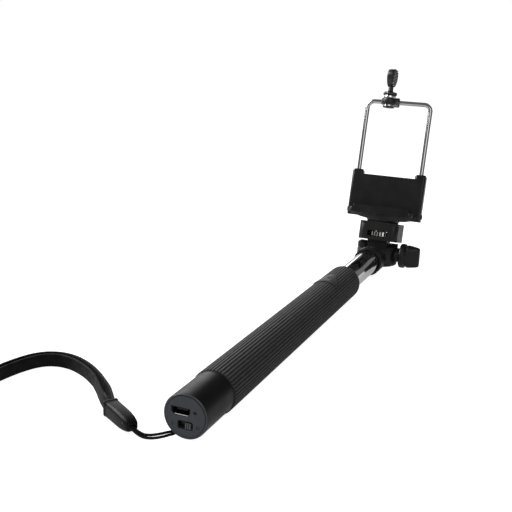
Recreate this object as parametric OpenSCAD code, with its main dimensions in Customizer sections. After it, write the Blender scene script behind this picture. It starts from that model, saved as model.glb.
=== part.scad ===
// Telescopic selfie stick: ribbed handle with a shutter button, six nested chrome tubes, a tilting head
// and a wire-frame phone holder with a paddle screw. Millimetres.
// Stick frame: the tubes run along +Y, the handle's end face is at y = 0 and +Z is up.
// Head frame: its origin is the tilt pivot, z runs up along the phone and y runs away from the screen.

/* [Handle] */
// Thickness of the rubber grip on its core, ribs included
rubber_t = 1.25; // [1:0.05:3]
// Length of the ribbed grip
grip_len = 176.5; // [150:1:230]
// Number of ribs round the grip
rib_count = 42; // [24:2:54]
// Depth of the grooves between the ribs
rib_depth = 0.45; // [0.2:0.05:0.5]
// How far the smooth end barrel lies below the top of the ribs
barrel_inset = 0.5; // [0.2:0.1:1]
// Length of the smooth end barrel
barrel_len = 24; // [20:1:32]
// Wall of the plastic core tube under the grip
core_wall = 0.6; // [0.5:0.1:2]
// Length of the battery bay behind the tubes
bay_len = 82; // [80:1:95]

/* [Tubes] */
// Outer diameter of the largest tube
tube_d = 15; // [12:0.1:20]
// Wall of every tube
tube_wall = 0.4; // [0.3:0.05:0.5]
// Length of the largest tube that shows between the grip and the head
tube_out = 52.5; // [44:1:66]
// Length of the guide bush at the tail of each moving tube
bush_len = 12; // [8:1:20]
// Length of the rolled-in mouth of each tube
lip_len = 6; // [4:1:10]

/* [Head] */
// Lean of the phone from upright, away from the handle
lean = 13.2; // [-15:1:60]
// Height of the tilt pivot above the tube axis
pivot_rise = 1; // [0:0.5:2]
// Radius of the round fork that carries the tilting block
fork_r = 13.2; // [12.8:0.2:16]
// Diameter of the tilt bolt
bolt_d = 4; // [3:0.5:5]
// Width of the neck between the cheeks of the fork
neck_w = 13; // [11:0.5:14]
// Width of the tilting block
block_w = 26; // [25:1:32]
// Depth of the tilting block
block_depth = 23; // [23:1:28]
// Height of the tilting block
block_h = 12; // [12:0.5:16]
// Diameter of the thumbwheel in the block
wheel_d = 21.2; // [18:0.2:21.4]
// Diameter of the tripod screw, a quarter inch
screw_d = 6.2; // [5:0.1:7.5]
// Diameter of the ribbed collar of the tilt knob
knob_d = 15.8; // [13:0.2:17]
// Reach of the knob's wing from the stick's middle plane
knob_reach = 28.3; // [26:0.5:34]

/* [Phone holder] */
// Phone height between the tray and the pressing foot
phone_h = 67; // [60:1:75]
// Thickness of the slot that takes the phone's edge
slot_t = 8.6; // [8:0.2:11]
// Length of the boat-shaped tray from tip to tip
tray_len = 51.4; // [44:0.5:64]
// Width of the tray's upper plate
plate_w = 42.4; // [40:0.5:48]
// Diameter of the chrome wire
wire_d = 2.9; // [2.4:0.1:3.6]
// Width of the wire frame between the middles of its legs
frame_w = 42.4; // [40:0.5:46]
// Height of the guide towers above the tray
tower_h = 25; // [20:1:28]
// Sideways place of the pressing jaw on the crossbar
jaw_x = -5.2; // [-9:0.1:9]
// Diameter of the clamping screw
clamp_screw_d = 3; // [2.5:0.1:3.4]
// Width of the paddle knob
paddle_w = 9; // [7:0.5:12]
// Height of the paddle knob
paddle_h = 11.5; // [9:0.5:15]
// Turn of the paddle about its screw
paddle_turn = -9; // [-90:1:90]

/* [Wrist strap] */
// Width of the webbing
strap_w = 6; // [5:0.5:7]
// Thickness of the webbing
strap_t = 1.2; // [0.9:0.1:1.4]
// Diameter of each strand of the lanyard cord
strand_d = 1.1; // [0.8:0.1:1.3]

/* [Hidden] */
$fn = 48;
// Clearances
seat_gap = 0.02;   // glued or pressed pieces of one body
fit_gap = 0.05;    // a shaft or pin that turns or slides in its bore
free_gap = 0.3;    // pieces that pass without touching
skin = 0.1;        // how far a cut runs past the face it opens
// Handle
core_bore_r = tube_d / 2 + 0.5;
core_r = core_bore_r + core_wall;
grip_r = core_r + rubber_t;
barrel_r = grip_r - barrel_inset;
grip_end = barrel_len + grip_len;
barrel_stop = barrel_len / 2;
barrel_wall = 1.1;
barrel_screw_r = 0.8;
barrel_screw_len = 1.4;
grip_shoulder = 1.6;
bulkhead_t = 2.5;
plate_t = 1.8;
button_y = grip_end - 30;
button_r = grip_r + 0.4;
button_in_r = core_r + 1.05;
button_len = 15;
button_w = 13.8;
button_gap = 0.25;
plunger_r = 1.4;
strip_t = 0.25;
strip_w = 4;
dome_t = 0.3;
dome_r = 1.6;
plunger_z = core_r + strip_t + dome_t + 0.34;
// Openings in the end plate
usb = [-2, 1.7];
usb_w = 7.8;
usb_h = 3.2;
led = [4, 2.2];
led_r = 0.7;
slot = [0, -3.6];
slot_w = 6.4;
slot_h = 3.4;
slider_w = 3.2;
slider_travel = 2.4;
board_z = -0.6;
board_t = 1;
battery_r = core_bore_r - 1.6;
battery_y = 36;
battery_len = bay_len - battery_y - 3;
// Eye for the lanyard cord, an angle about the tube axis
eye_angle = 238;
eye_y = 3.2;
// Tubes
tube_count = 6;
tube_step = 0.12 * tube_d;
nest_step = 1.9;
mouth = grip_end + tube_out;
tube_tail = bay_len + bulkhead_t;
tube_plug_len = 12;
// Head
swivel_r = 0.48 * tube_bore(tube_count);
pivot_y = mouth + 22;
neck_depth = 10;
neck_r = neck_depth / 2 + 0.2;
cheek_in = neck_w / 2 + 0.6;
cheek_h = 12.8;
cheek_low = 6.5;
fork_back = 7.7;
boss_x = fork_r + 2;
washer_t = 0.3;
collar_len = 4.5;
collar_x = boss_x + washer_t + fit_gap;
wing_t = 4;
wing_h = 11.3;
insert_r = bolt_d / 2 + 1.6;
bolt_end = collar_x + 6.5;
bolt_head_t = 2.7;
hex_r = bolt_d * 0.97;
block_z = 8;
block_front = -8;
block_mid = block_front + block_depth / 2;
block_top = block_z + block_h;
block_corner = 4;
cap_t = 1.6;
wheel_t = 3.2;
wheel_z = block_z + 2.5;
wheel_r = wheel_d / 2;
pocket_r = wheel_r + 0.35;
window_w = 13.3;
window_h = 3.6;
pad_t = 0.8;
screw_r = screw_d / 2;
holder_z = block_top + pad_t + fit_gap;
holder_insert_r = screw_r + 1.3;
// Phone holder
tray_pad_t = 0.45;
tray_top = block_top + 8.45 - tray_pad_t;
foot_z = tray_top + tray_pad_t + phone_h;
slot_back = 0.7;
slot_front = slot_back - slot_t;
lip_t = 1.6;
lip_h = 2.1;
plate_h = 3;
hull_depth = 22;
hull_rise = 4;
keel_gap = 0.4;
hull_r = (pow(tray_len / 2, 2) + pow(hull_depth / 2, 2)) / hull_depth;
keel_r = (pow(tray_len / 2, 2) + pow(hull_rise, 2)) / (2 * hull_rise);
wire_r = wire_d / 2;
leg_x = frame_w / 2;
spring_wire = 0.5;
spring_r = wire_r + 0.25 + spring_wire / 2;
chamber_r = spring_r + spring_wire / 2 + 0.2;
tower_wall = 0.9;
leg_y = slot_back + tower_wall + chamber_r;
tower_w = 2 * (chamber_r + 1.2);
tower_top = tray_top + tower_h;
leg_end = tray_top + 4;
clip_t = 1;
spring_h = tower_top - 2 - leg_end - clip_t - spring_wire - 0.1;
bar_z = foot_z + 4.6;
bend_r = 4.5;
foot_y = (slot_front + slot_back) / 2;
foot_pad_t = 0.55;
foot_t = 1.1;
jaw_z = foot_z + foot_pad_t + foot_t + 0.2;
jaw_t = 3.8;
jaw_w = 10;
jaw_barrel_r = wire_r + 1.65;
ring_r = 4;
ring_t = 2.2;
clamp_r = clamp_screw_d / 2;
bush_r = clamp_r + 1.1;
lock_t = 2.1;
paddle_neck = 4.2;
paddle_z = jaw_z + jaw_t + ring_t + lock_t + paddle_neck;
paddle_t = 4.4;
// The whole object stands with the middle of its box over the origin
x_mid = (knob_reach - tray_len / 2) / 2;
y_mid = (pivot_y + leg_y * cos(lean) + bar_z * sin(lean) + jaw_barrel_r) / 2;
// Lanyard: strand points from the eye to the clasp, stick frame, on the floor past the first two
strand_route = [
    [-4.6, 3.2, -7.6], [-5.1, 3.1, -8.6], [-6.1, 2.6, -9.2], [-7.4, 1.2, -9.28], [-8.8, -0.6, -9.28],
    [-10.4, -2.2, -9.28], [-12.4, -3.5, -9.28], [-14.8, -4.4, -9.1], [-17.2, -4.9, -8.2], [-19.6, -5.1, -7]
];
// Webbing: points of the line between its two runs, from the clasp to the end of the loop, and the
// distance of each run from that line
strap_route = [
    [-35, 4.6, 0.9], [-41, 10.8, 1.7], [-46, 16.3, 1.9], [-51, 21.4, 1.6], [-56, 26, 1.4], [-62, 30.5, 1.4],
    [-68, 34, 1.4], [-75, 36.8, 1.4], [-82, 37.4, 1.4], [-88, 35.2, 1.4], [-92, 30.5, 1.4],
    [-94.5, 24, 1.4], [-96, 17, 1.4], [-97, 9, 1.4], [-98, 0, 1.4], [-98.5, -9, 2], [-98.5, -17, 3.6],
    [-98, -25, 6], [-97.2, -32, 7.4]
];
loop_end = [-96.6, -36, 7.6];
clasp_tail = [-36.5, 5.6];
clasp_nose = [-19, -5.2];
clasp_h = strap_w + 1.5;
clasp_w = 6.2;
clasp_floor = 0.7;

// ---- Frames and shared shapes ----

module stick() translate([-x_mid, -y_mid, grip_r]) children();

module along_y(y) translate([0, y, 0]) rotate([-90, 0, 0]) children();

module head() stick() translate([0, pivot_y, pivot_rise]) rotate([-lean, 0, 0]) children();

module across_x(x) translate([x, 0, 0]) rotate([0, 90, 0]) children();

module pair() for (side = [-1, 1]) translate([side * leg_x, leg_y, 0]) children();

module ring(outer, inner, h) difference() {
    cylinder(r = outer, h = h);
    translate([0, 0, -skin]) cylinder(r = inner, h = h + 2 * skin);
}

module rounded_rect(w, d, r) union() {
    square([w - 2 * r, d], center = true);
    square([w, d - 2 * r], center = true);
    for (x = [-1, 1], y = [-1, 1]) translate([x * (w / 2 - r), y * (d / 2 - r)]) circle(r = r);
}

module slab(w, d, h, r) linear_extrude(h) rounded_rect(w, d, r);

function tube_r(k) = (tube_d - (k - 1) * tube_step) / 2;
function tube_bore(k) = tube_r(k) - tube_wall;
function tube_mouth(k) = mouth + (k - 1) * nest_step;
function tube_start(k) = tube_tail + (k - 1) * nest_step;

// ---- Sweeps ----

function unit(v) = v / norm(v);
function tangent(p, i) = unit(p[min(i + 1, len(p) - 1)] - p[max(i - 1, 0)]);
function side_of(t) = unit(cross([0, 0, 1], t));
function section_point(p, t, uv) = p + side_of(t) * uv[0] + cross(t, side_of(t)) * uv[1];
function sweep_points(p, section) = [
    for (i = [0 : len(p) - 1], uv = section) section_point(p[i], tangent(p, i), uv)
];
function sweep_faces(rings, n) = concat(
    [[for (j = [0 : n - 1]) j], [for (j = [n - 1 : -1 : 0]) (rings - 1) * n + j]],
    [for (i = [0 : rings - 2], j = [0 : n - 1]) each [
        [i * n + j, (i + 1) * n + j, (i + 1) * n + (j + 1) % n],
        [i * n + j, (i + 1) * n + (j + 1) % n, i * n + (j + 1) % n]
    ]]
);
function round_section(r, n) = [for (j = [0 : n - 1]) [r * cos(360 * j / n), r * sin(360 * j / n)]];
function flat_section(t, w) = [[t / 2, w / 2], [-t / 2, w / 2], [-t / 2, -w / 2], [t / 2, -w / 2]];

module sweep(p, section) polyhedron(sweep_points(p, section), sweep_faces(len(p), len(section)));

function helix(r, h, turns, n) = [
    for (i = [0 : turns * n]) [r * cos(360 * i / n), r * sin(360 * i / n), h * i / (turns * n)]
];

// ---- Handle ----

module end_barrel() color("#1b1b1c") stick() difference() {
    union() {
        along_y(0) rotate_extrude() polygon([
            [barrel_r - barrel_wall, 0.3], [barrel_r - 0.4, 0], [barrel_r, 0.4],
            [barrel_r, barrel_len - 0.4], [barrel_r - 0.3, barrel_len - 0.1],
            [core_r + seat_gap, barrel_len - 0.1], [core_r + seat_gap, barrel_stop],
            [barrel_r - barrel_wall, barrel_stop]
        ]);
        eye_boss();
    }
    rotate([0, -eye_angle, 0]) translate([0, eye_y, 0]) {
        for (dy = [-0.75, 0.75]) translate([0, dy, 0]) across_x(barrel_r - 2.7) cylinder(r = 0.8, h = 4);
    }
    barrel_screw_places() cylinder(r = barrel_screw_r + seat_gap, h = 4);
}

module barrel_screw_places() for (a = [-28, 208])
    rotate([0, -a, 0]) translate([0, barrel_len - 5, 0]) across_x(barrel_r - barrel_screw_len - 0.1) children();

module eye_boss() intersection() {
    rotate([0, -eye_angle, 0]) translate([barrel_r - 2.9, plate_t + 0.4, -2.5]) cube([2, 4, 5]);
    along_y(0) cylinder(r = barrel_r - 0.5, h = barrel_stop);
}

module end_plate() color("#3c3e41") stick() difference() {
    along_y(0.05) cylinder(r = barrel_r - barrel_wall - seat_gap, h = plate_t);
    translate([usb[0], 0, usb[1]]) rotate([90, 0, 0]) translate([0, 0, -plate_t - 1])
        linear_extrude(plate_t + 2) usb_outline(0.15);
    translate([led[0], 0, led[1]]) along_y(-skin) cylinder(r = led_r + seat_gap, h = plate_t + 1);
    translate([slot[0], 0.6, slot[1]]) rotate([90, 0, 0]) slab(slot_w, slot_h, 2, 0.8);
    translate([slot[0], plate_t + 1, slot[1]]) rotate([90, 0, 0])
        slab(slider_w + slider_travel + 0.4, slot_h - 1, plate_t + 2, 0.4);
    for (mark = [-1, 1]) translate([mark * 5.3, 0.15, slot[1]]) rotate([90, 0, 0])
        if (mark < 0) slab(0.35, 1.6, 1, 0.1); else ring(0.8, 0.5, 1);
}

// Socket outline: square upper corners, cut lower corners
module usb_outline(grow) polygon([
    [-usb_w / 2 - grow, usb_h / 2 + grow], [usb_w / 2 + grow, usb_h / 2 + grow],
    [usb_w / 2 + grow, -usb_h / 2 + 1.2], [usb_w / 2 - 1.2, -usb_h / 2 - grow],
    [-usb_w / 2 + 1.2, -usb_h / 2 - grow], [-usb_w / 2 - grow, -usb_h / 2 + 1.2]
]);

module handle_core() color("#262626") stick() difference() {
    along_y(barrel_stop + fit_gap) ring(core_r, core_bore_r, grip_end - barrel_stop - fit_gap - 1);
    barrel_screw_places() translate([0, 0, -1]) cylinder(r = barrel_screw_r + seat_gap, h = 4);
}

module grip_sleeve() color("#3d3d3e") stick() difference() {
    intersection() {
        along_y(barrel_len) linear_extrude(grip_len) ribbed_outline();
        along_y(barrel_len) rotate_extrude() polygon(concat(
            [[0, 0], [grip_r - 0.4, 0], [grip_r, 0.4]],
            [for (a = [0 : 15 : 90]) [
                grip_r - grip_shoulder * (1 - cos(a)), grip_len - grip_shoulder * (1 - sin(a))]],
            [[0, grip_len]]
        ));
    }
    along_y(barrel_len - skin) cylinder(r = core_r + seat_gap, h = grip_len + 1);
    translate([-strip_w / 2 - 0.3, barrel_len - 1, 0])
        cube([strip_w + 0.6, button_y - barrel_len, core_r + strip_t + 0.15]);
    button_prism(button_gap, 0, grip_r + 1);
}

module ribbed_outline() {
    rib_angle = 360 / rib_count;
    polygon([for (k = [0 : rib_count - 1]) each [
        for (q = [[-0.32, 0], [0.2, 0], [0.3, rib_depth], [0.58, rib_depth]])
            (grip_r - q[1]) * [cos((k + q[0]) * rib_angle), sin((k + q[0]) * rib_angle)]
    ]]);
}

// Rounded triangle, its base towards the end barrel and its tip towards the head
module button_outline(grow) hull() {
    for (x = [-1, 1]) translate([x * (button_w / 2 - 1.5), -button_len / 2 + 1.5]) circle(r = 1.5 + grow, $fn = 24);
    translate([0, button_len / 2 - 2.2]) circle(r = 2.2 + grow, $fn = 24);
}

module button_prism(grow, low, high) translate([0, button_y, low])
    linear_extrude(high - low) button_outline(grow);

module battery() color("#4a6a8a") stick() {
    translate([0, 0, -1.2]) along_y(battery_y) cylinder(r = battery_r, h = battery_len);
}

module circuit_board() color("#1f5a33") stick() {
    translate([-6.5, plate_t + 0.6, board_z - board_t]) cube([13, battery_y - plate_t - 1.4, board_t]);
    translate([-4, 14, board_z]) cube([6, 6, 1]);
    translate([-2, 23, board_z]) cube([5, 8, 1.2]);
    translate([3.4, 15, board_z]) cube([2, 3, 0.8]);
}

module usb_socket() color("silver") stick() {
    difference() {
        translate([usb[0], 5.6, usb[1]]) rotate([90, 0, 0]) linear_extrude(5.2) usb_outline(0);
        translate([usb[0], 4.8, usb[1]]) rotate([90, 0, 0]) linear_extrude(6) usb_outline(-0.3);
    }
    translate([usb[0] - 2, 1.2, usb[1] + 0.2]) cube([4.4, 3.8, 0.6]);
}

module switch_body() color("silver") stick()
    translate([-4.2, plate_t + 0.3, slot[1] - 1.4]) cube([8.4, 3.4, 2.2]);

module switch_slider() color("#2c2c2c") stick() union() {
    difference() {
        translate([slider_travel / 2, plate_t + 0.15, slot[1]]) rotate([90, 0, 0])
            slab(slider_w, slot_h - 1.3, plate_t + 0.05, 0.3);
        for (dx = [-0.8, 0, 0.8])
            translate([slider_travel / 2 + dx - 0.15, -1, slot[1] - 2]) cube([0.3, 1.3, 4]);
    }
}

module led_pipe() color("#dfe6ea") stick()
    translate([led[0], 0, led[1]]) along_y(0.25) cylinder(r = led_r, h = 3);

module flex_strip() color("#a8692a") stick() translate([-strip_w / 2, 30, core_r + seat_gap])
    cube([strip_w, button_y + 3 - 30, strip_t]);

module dome_switch() color("silver") stick()
    translate([0, button_y, core_r + strip_t + 2 * seat_gap]) cylinder(r = dome_r, h = dome_t);

module shutter_button() color("#333334") stick() union() {
    difference() {
        intersection() {
            button_prism(0, 0, button_r + 1);
            along_y(button_y - button_len) cylinder(r = button_r, h = 2 * button_len);
        }
        along_y(button_y - button_len) cylinder(r = button_in_r, h = 2 * button_len);
        camera_mark();
    }
    translate([0, button_y, plunger_z]) cylinder(r = plunger_r, h = button_r - 0.3 - plunger_z);
}

// A plain camera outline sunk into the top of the button
module camera_mark() translate([0, button_y - 1, button_r - 0.12]) linear_extrude(1) difference() {
    union() {
        rounded_rect(3.6, 2.4, 0.4);
        translate([0, 1.3]) square([1.2, 0.6], center = true);
    }
    circle(r = 0.75);
}

module barrel_screws() color("#8d8d8d") stick() barrel_screw_places() difference() {
    cylinder(r = barrel_screw_r, h = barrel_screw_len);
    translate([-0.6, -0.15, barrel_screw_len - 0.3]) cube([1.2, 0.3, 1]);
}

module bulkhead() color("#262626") stick() along_y(bay_len) cylinder(r = core_bore_r - seat_gap, h = bulkhead_t);

module tube_bushes() color("#303030") stick() for (y = [tube_tail + 2, grip_end - 13])
    along_y(y) ring(core_bore_r - seat_gap, tube_r(1) + seat_gap, 12);

// ---- Tubes ----

module tube(k) color("#d8dadc") stick() difference() {
    along_y(tube_start(k)) rotate_extrude() polygon(k < tube_count ? [
        [tube_bore(k), 0], [tube_r(k), 0],
        [tube_r(k), tube_mouth(k) - tube_start(k) - 0.3],
        [tube_r(k) - 0.3, tube_mouth(k) - tube_start(k)],
        [tube_r(k + 1) + fit_gap, tube_mouth(k) - tube_start(k)],
        [tube_r(k + 1) + fit_gap, tube_mouth(k) - tube_start(k) - lip_len],
        [tube_bore(k), tube_mouth(k) - tube_start(k) - lip_len]
    ] : [
        [tube_bore(k), 0], [tube_r(k), 0],
        [tube_r(k), tube_mouth(k) - tube_start(k)], [tube_bore(k), tube_mouth(k) - tube_start(k)]
    ]);
}

module tube_1() tube(1);
module tube_2() tube(2);
module tube_3() tube(3);
module tube_4() tube(4);
module tube_5() tube(5);
module tube_6() tube(6);

module slide_bush(k) color("#c9c4b8") stick() along_y(tube_start(k) + 0.5)
    ring(tube_bore(k - 1) - fit_gap, tube_r(k) + seat_gap, bush_len);

module slide_bush_2() slide_bush(2);
module slide_bush_3() slide_bush(3);
module slide_bush_4() slide_bush(4);
module slide_bush_5() slide_bush(5);
module slide_bush_6() slide_bush(6);

module tube_plug() color("#b89a5a") stick()
    along_y(tube_mouth(tube_count) - tube_plug_len) ring(tube_bore(tube_count) - seat_gap, swivel_r, tube_plug_len);

module swivel_screw() color("#7a7a7c") stick() {
    along_y(tube_mouth(tube_count) - 8) cylinder(r = swivel_r - seat_gap, h = 10.1);
    along_y(tube_mouth(tube_count) + 2.1) difference() {
        cylinder(r = swivel_r + 0.95, h = 1.5);
        translate([0, 0, 0.8]) cylinder(r = 0.88 * swivel_r, h = 2, $fn = 6);
    }
}

// ---- Tilting head ----

module fork() color("#262626") stick() difference() {
    union() {
        along_y(mouth - 2.2) cylinder(r = tube_r(1) + 1.5, h = 12);
        translate([0, pivot_y, pivot_rise]) intersection() {
            translate([0, 0, -cheek_low]) cylinder(r = fork_r, h = cheek_h);
            union() {
                translate([-2 * fork_r, -2 * fork_r, -fork_r]) cube([4 * fork_r, 2 * fork_r, 2 * fork_r]);
                across_x(-2 * fork_r) cylinder(r = fork_back, h = 4 * fork_r);
            }
        }
        translate([0, pivot_y, pivot_rise]) across_x(fork_r - 3) cylinder(r = 4.6, h = boss_x - fork_r + 3);
    }
    // Socket over the tube mouths, seat of the last tube and its screw
    along_y(mouth - 3) cylinder(r = tube_r(1) + free_gap, h = 3 + nest_step * (tube_count - 2) + 0.8);
    along_y(mouth) cylinder(r = tube_r(tube_count) + fit_gap, h = tube_mouth(tube_count) - mouth + 0.1);
    along_y(mouth) cylinder(r = swivel_r + 0.15, h = 30);
    along_y(tube_mouth(tube_count) + 2) cylinder(r = swivel_r + 1.25, h = 12);
    translate([0, pivot_y, pivot_rise]) {
        // Slot for the neck, open at the top and the back
        translate([-cheek_in, -fork_r + 4.6, -cheek_low + 0.9]) cube([2 * cheek_in, 3 * fork_r, 3 * fork_r]);
        translate([-cheek_in, 0, -2 * fork_r]) cube([2 * cheek_in, 3 * fork_r, 3 * fork_r]);
        // The front rim dips below the cheeks
        translate([-2 * fork_r, -fork_r - 1, cheek_h - cheek_low - 3.2]) rotate([14, 0, 0])
            translate([0, -2, 0]) cube([4 * fork_r, 16, 8]);
        // Bolt bore and the pocket for its head
        across_x(-2 * fork_r) cylinder(r = bolt_d / 2 + fit_gap, h = 4 * fork_r);
        across_x(-fork_r - 1) cylinder(r = hex_r + 0.15, h = bolt_head_t + 1, $fn = 6);
    }
}

module pivot_bolt() color("#8f9193") stick() translate([0, pivot_y, pivot_rise]) union() {
    across_x(-fork_r + 0.2) cylinder(r = hex_r, h = bolt_head_t - 0.25, $fn = 6);
    across_x(-fork_r + 1) cylinder(r = bolt_d / 2, h = bolt_end + fork_r - 1);
}

module friction_washers() color("#d9d2c2") stick() translate([0, pivot_y, pivot_rise])
    for (x = [-cheek_in + seat_gap, cheek_in - seat_gap - 0.5])
        across_x(x) ring(neck_r - 0.4, bolt_d / 2 + fit_gap, 0.5);

module tilt_washer() color("#b4b6b8") stick() translate([0, pivot_y, pivot_rise])
    across_x(boss_x + seat_gap) ring(4.4, bolt_d / 2 + fit_gap, washer_t);

module tilt_knob() color("#202020") stick() translate([0, pivot_y, pivot_rise]) difference() {
    union() {
        across_x(collar_x) difference() {
            rotate_extrude() polygon([
                [0, 0], [knob_d / 2 - 0.8, 0], [knob_d / 2, 0.9], [knob_d / 2, collar_len - 1.6],
                [knob_d / 2 - 1.8, collar_len], [0, collar_len]
            ]);
            for (k = [0 : 17]) rotate(k * 20) translate([knob_d / 2 + 0.35, 0, -skin])
                cylinder(r = 0.8, h = collar_len + 1);
        }
        translate([(collar_x + knob_reach) / 2, wing_t / 2, 0]) rotate([90, 0, 0])
            slab(knob_reach - collar_x, wing_h, wing_t, 2);
    }
    across_x(collar_x - 1) cylinder(r = insert_r + seat_gap, h = bolt_end - collar_x + 1.8);
}

module knob_insert() color("#b89a5a") stick() translate([0, pivot_y, pivot_rise])
    across_x(collar_x + seat_gap) ring(insert_r, bolt_d / 2 + fit_gap, bolt_end - collar_x + 0.5);

module tilt_block() color("#2a2a2a") head() difference() {
    union() {
        translate([0, block_mid, block_z]) slab(block_w, block_depth, block_h - cap_t, block_corner);
        translate([-neck_w / 2, -neck_depth / 2, 0]) cube([neck_w, neck_depth, block_z + 1]);
        across_x(-neck_w / 2) cylinder(r = neck_r, h = neck_w);
    }
    across_x(-block_w) cylinder(r = bolt_d / 2 + fit_gap, h = 2 * block_w);
    translate([0, block_mid, wheel_z - 0.2]) cylinder(r = pocket_r, h = block_h);
    translate([0, block_mid, wheel_z - 1.2]) cylinder(r = screw_r - 0.5 + fit_gap, h = 2);
    translate([-window_w / 2, block_front - 1, wheel_z - 0.2]) cube([window_w, block_depth + 2, window_h]);
    cap_screw_places() translate([0, 0, -6]) cylinder(r = 0.9, h = 8);
    for (x = [-1, 1], y = [block_front + 3, block_front + block_depth - 3])
        translate([x * (block_w / 2 + 0.25), y, block_z - skin]) cylinder(r = 0.6, h = block_h + 1);
}

module cap_screw_places() for (x = [-1, 1], y = [-1, 1]) translate([
    x * (block_w / 2 - 2.7), block_mid + y * (block_depth / 2 - 2.7), block_top - cap_t]) children();

module block_cap() color("#2a2a2a") head() difference() {
    union() {
        translate([0, block_mid, block_top - cap_t]) slab(block_w, block_depth, cap_t, block_corner);
        translate([0, block_mid, wheel_z + wheel_t + 0.25])
            cylinder(r = pocket_r - seat_gap, h = block_top - cap_t - wheel_z - wheel_t);
    }
    translate([0, block_mid, 0]) cylinder(r = screw_r + free_gap, h = 2 * block_top);
    cap_screw_places() translate([0, 0, -skin]) cylinder(r = 0.9 + seat_gap, h = 8);
    cap_screw_places() translate([0, 0, cap_t - 0.9]) cylinder(r = 1.7, h = 2);
}

module cap_screws() color("#8f9193") head() cap_screw_places() difference() {
    union() {
        translate([0, 0, -5.5]) cylinder(r = 0.9 - seat_gap, h = 6.5);
        translate([0, 0, cap_t - 0.88]) cylinder(r = 1.6, h = 0.85);
    }
    for (a = [0, 90]) translate([0, 0, cap_t - 0.4]) rotate(a) translate([-1, -0.2, 0]) cube([2, 0.4, 1]);
}

module thumbwheel() color("#c4c6c8") head() translate([0, block_mid, wheel_z]) difference() {
    cylinder(r = wheel_r, h = wheel_t);
    translate([0, 0, -skin]) cylinder(r = screw_r + seat_gap, h = wheel_t + 1);
    for (k = [0 : 35]) rotate(10 * k) translate([wheel_r + 0.25, 0, -skin]) cylinder(r = 0.6, h = wheel_t + 1);
}

module tripod_screw() color("#b0b2b4") head() translate([0, block_mid, 0]) union() {
    translate([0, 0, wheel_z - 1]) cylinder(r = screw_r - 0.5, h = 2);
    translate([0, 0, wheel_z]) cylinder(r = screw_r, h = holder_z + 5 - wheel_z);
}

module mount_pad() color("#171717") head() translate([0, block_mid, block_top + seat_gap])
    ring(min(block_w, block_depth) / 2 - 1.2, screw_r + free_gap, pad_t - seat_gap);

// ---- Phone holder ----

module holder_base() color("#1e1e1f") head() difference() {
    union() {
        // Boat-shaped hull
        translate([0, block_mid, 0]) intersection() {
            translate([0, 0, holder_z - 1]) linear_extrude(tray_top - holder_z + 1) intersection() {
                translate([0, hull_r - hull_depth / 2]) circle(r = hull_r, $fn = 96);
                translate([0, hull_depth / 2 - hull_r]) circle(r = hull_r, $fn = 96);
            }
            translate([0, hull_depth, holder_z + keel_gap + keel_r]) rotate([90, 0, 0])
                cylinder(r = keel_r, h = 2 * hull_depth, $fn = 96);
        }
        translate([0, block_mid, holder_z]) cylinder(r = 10.8, h = 3);
        // Upper plate with the front lip
        translate([0, (slot_front - lip_t + leg_y) / 2, tray_top - plate_h])
            slab(plate_w, leg_y - slot_front + lip_t, plate_h, 2.5);
        translate([0, slot_front - lip_t / 2, tray_top - plate_h / 2])
            slab(plate_w - 6, lip_t - 0.1, plate_h / 2 + lip_h, 0.3);
        // Back rest between the guide towers
        translate([-leg_x, slot_back, tray_top - 1]) cube([frame_w, 2.2, tower_h - 1]);
        for (z = [6, 13]) translate([-leg_x, slot_back, tray_top + z]) cube([frame_w, 3.4, 1.6]);
        pair() translate([0, tower_wall + slot_back + chamber_r - leg_y, holder_z + 2.2])
            slab(tower_w, 2 * (chamber_r + tower_wall), tower_top - holder_z - 2.2, 1.6);
    }
    pair() translate([0, 0, holder_z + 3]) cylinder(r = chamber_r, h = 100);
    translate([0, block_mid, holder_z - 1]) cylinder(r = holder_insert_r + seat_gap, h = 6.6);
    translate([0, block_mid, holder_z + 5]) cylinder(r = screw_r + free_gap, h = 1.2);
    // Pockets under the hull, with a slanted rib left between them
    for (side = [-1, 1]) {
        translate([side * 15, block_mid - 3.8, holder_z - 1]) slab(4.6, 5.4, 3.8, 0.8);
        translate([side * 14.4, block_mid + 4, holder_z - 1]) slab(4.6, 6, 3.8, 0.8);
    }
}

module holder_insert() color("#b89a5a") head() translate([0, block_mid, holder_z + seat_gap])
    ring(holder_insert_r, screw_r + fit_gap, 5.5);

module tray_pad() color("#141414") head() translate([0, foot_y, tray_top + seat_gap])
    slab(plate_w - 7, slot_t - 0.4, tray_pad_t - seat_gap, 1);

module tower_caps() color("#2a2a2a") head() pair() {
    translate([0, 0, tower_top + seat_gap]) ring(chamber_r + 0.8, wire_r + fit_gap, 1);
    translate([0, 0, tower_top - 2]) ring(chamber_r - seat_gap, wire_r + fit_gap, 2.1);
}

module frame_springs() color("#c0c2c4") head() pair()
    translate([0, 0, leg_end + clip_t + spring_wire / 2 + 0.05]) spring_coil(spring_r, spring_h, 8);

// The coil's section stays square to its path, so the sweep's own side vector serves
module spring_coil(r, h, turns) sweep(helix(r, h, turns, 10), round_section(spring_wire / 2, 6));

module leg_clips() color("#9a9c9e") head() pair() translate([0, 0, leg_end])
    ring(chamber_r - 0.15, wire_r + seat_gap, clip_t);

module wire_frame() color("#d8dadc") head() {
    union() {
        pair() translate([0, 0, leg_end - 0.4]) cylinder(r = wire_r, h = bar_z - bend_r - leg_end + 0.4);
        translate([-leg_x + bend_r, leg_y, bar_z]) rotate([0, 90, 0])
            cylinder(r = wire_r, h = frame_w - 2 * bend_r);
        for (side = [-1, 1]) translate([side * (leg_x - bend_r), leg_y, bar_z - bend_r])
            rotate([90, 0, 0]) rotate(side > 0 ? 0 : 90) rotate_extrude(angle = 90)
                translate([bend_r, 0]) circle(r = wire_r);
    }
}

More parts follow.
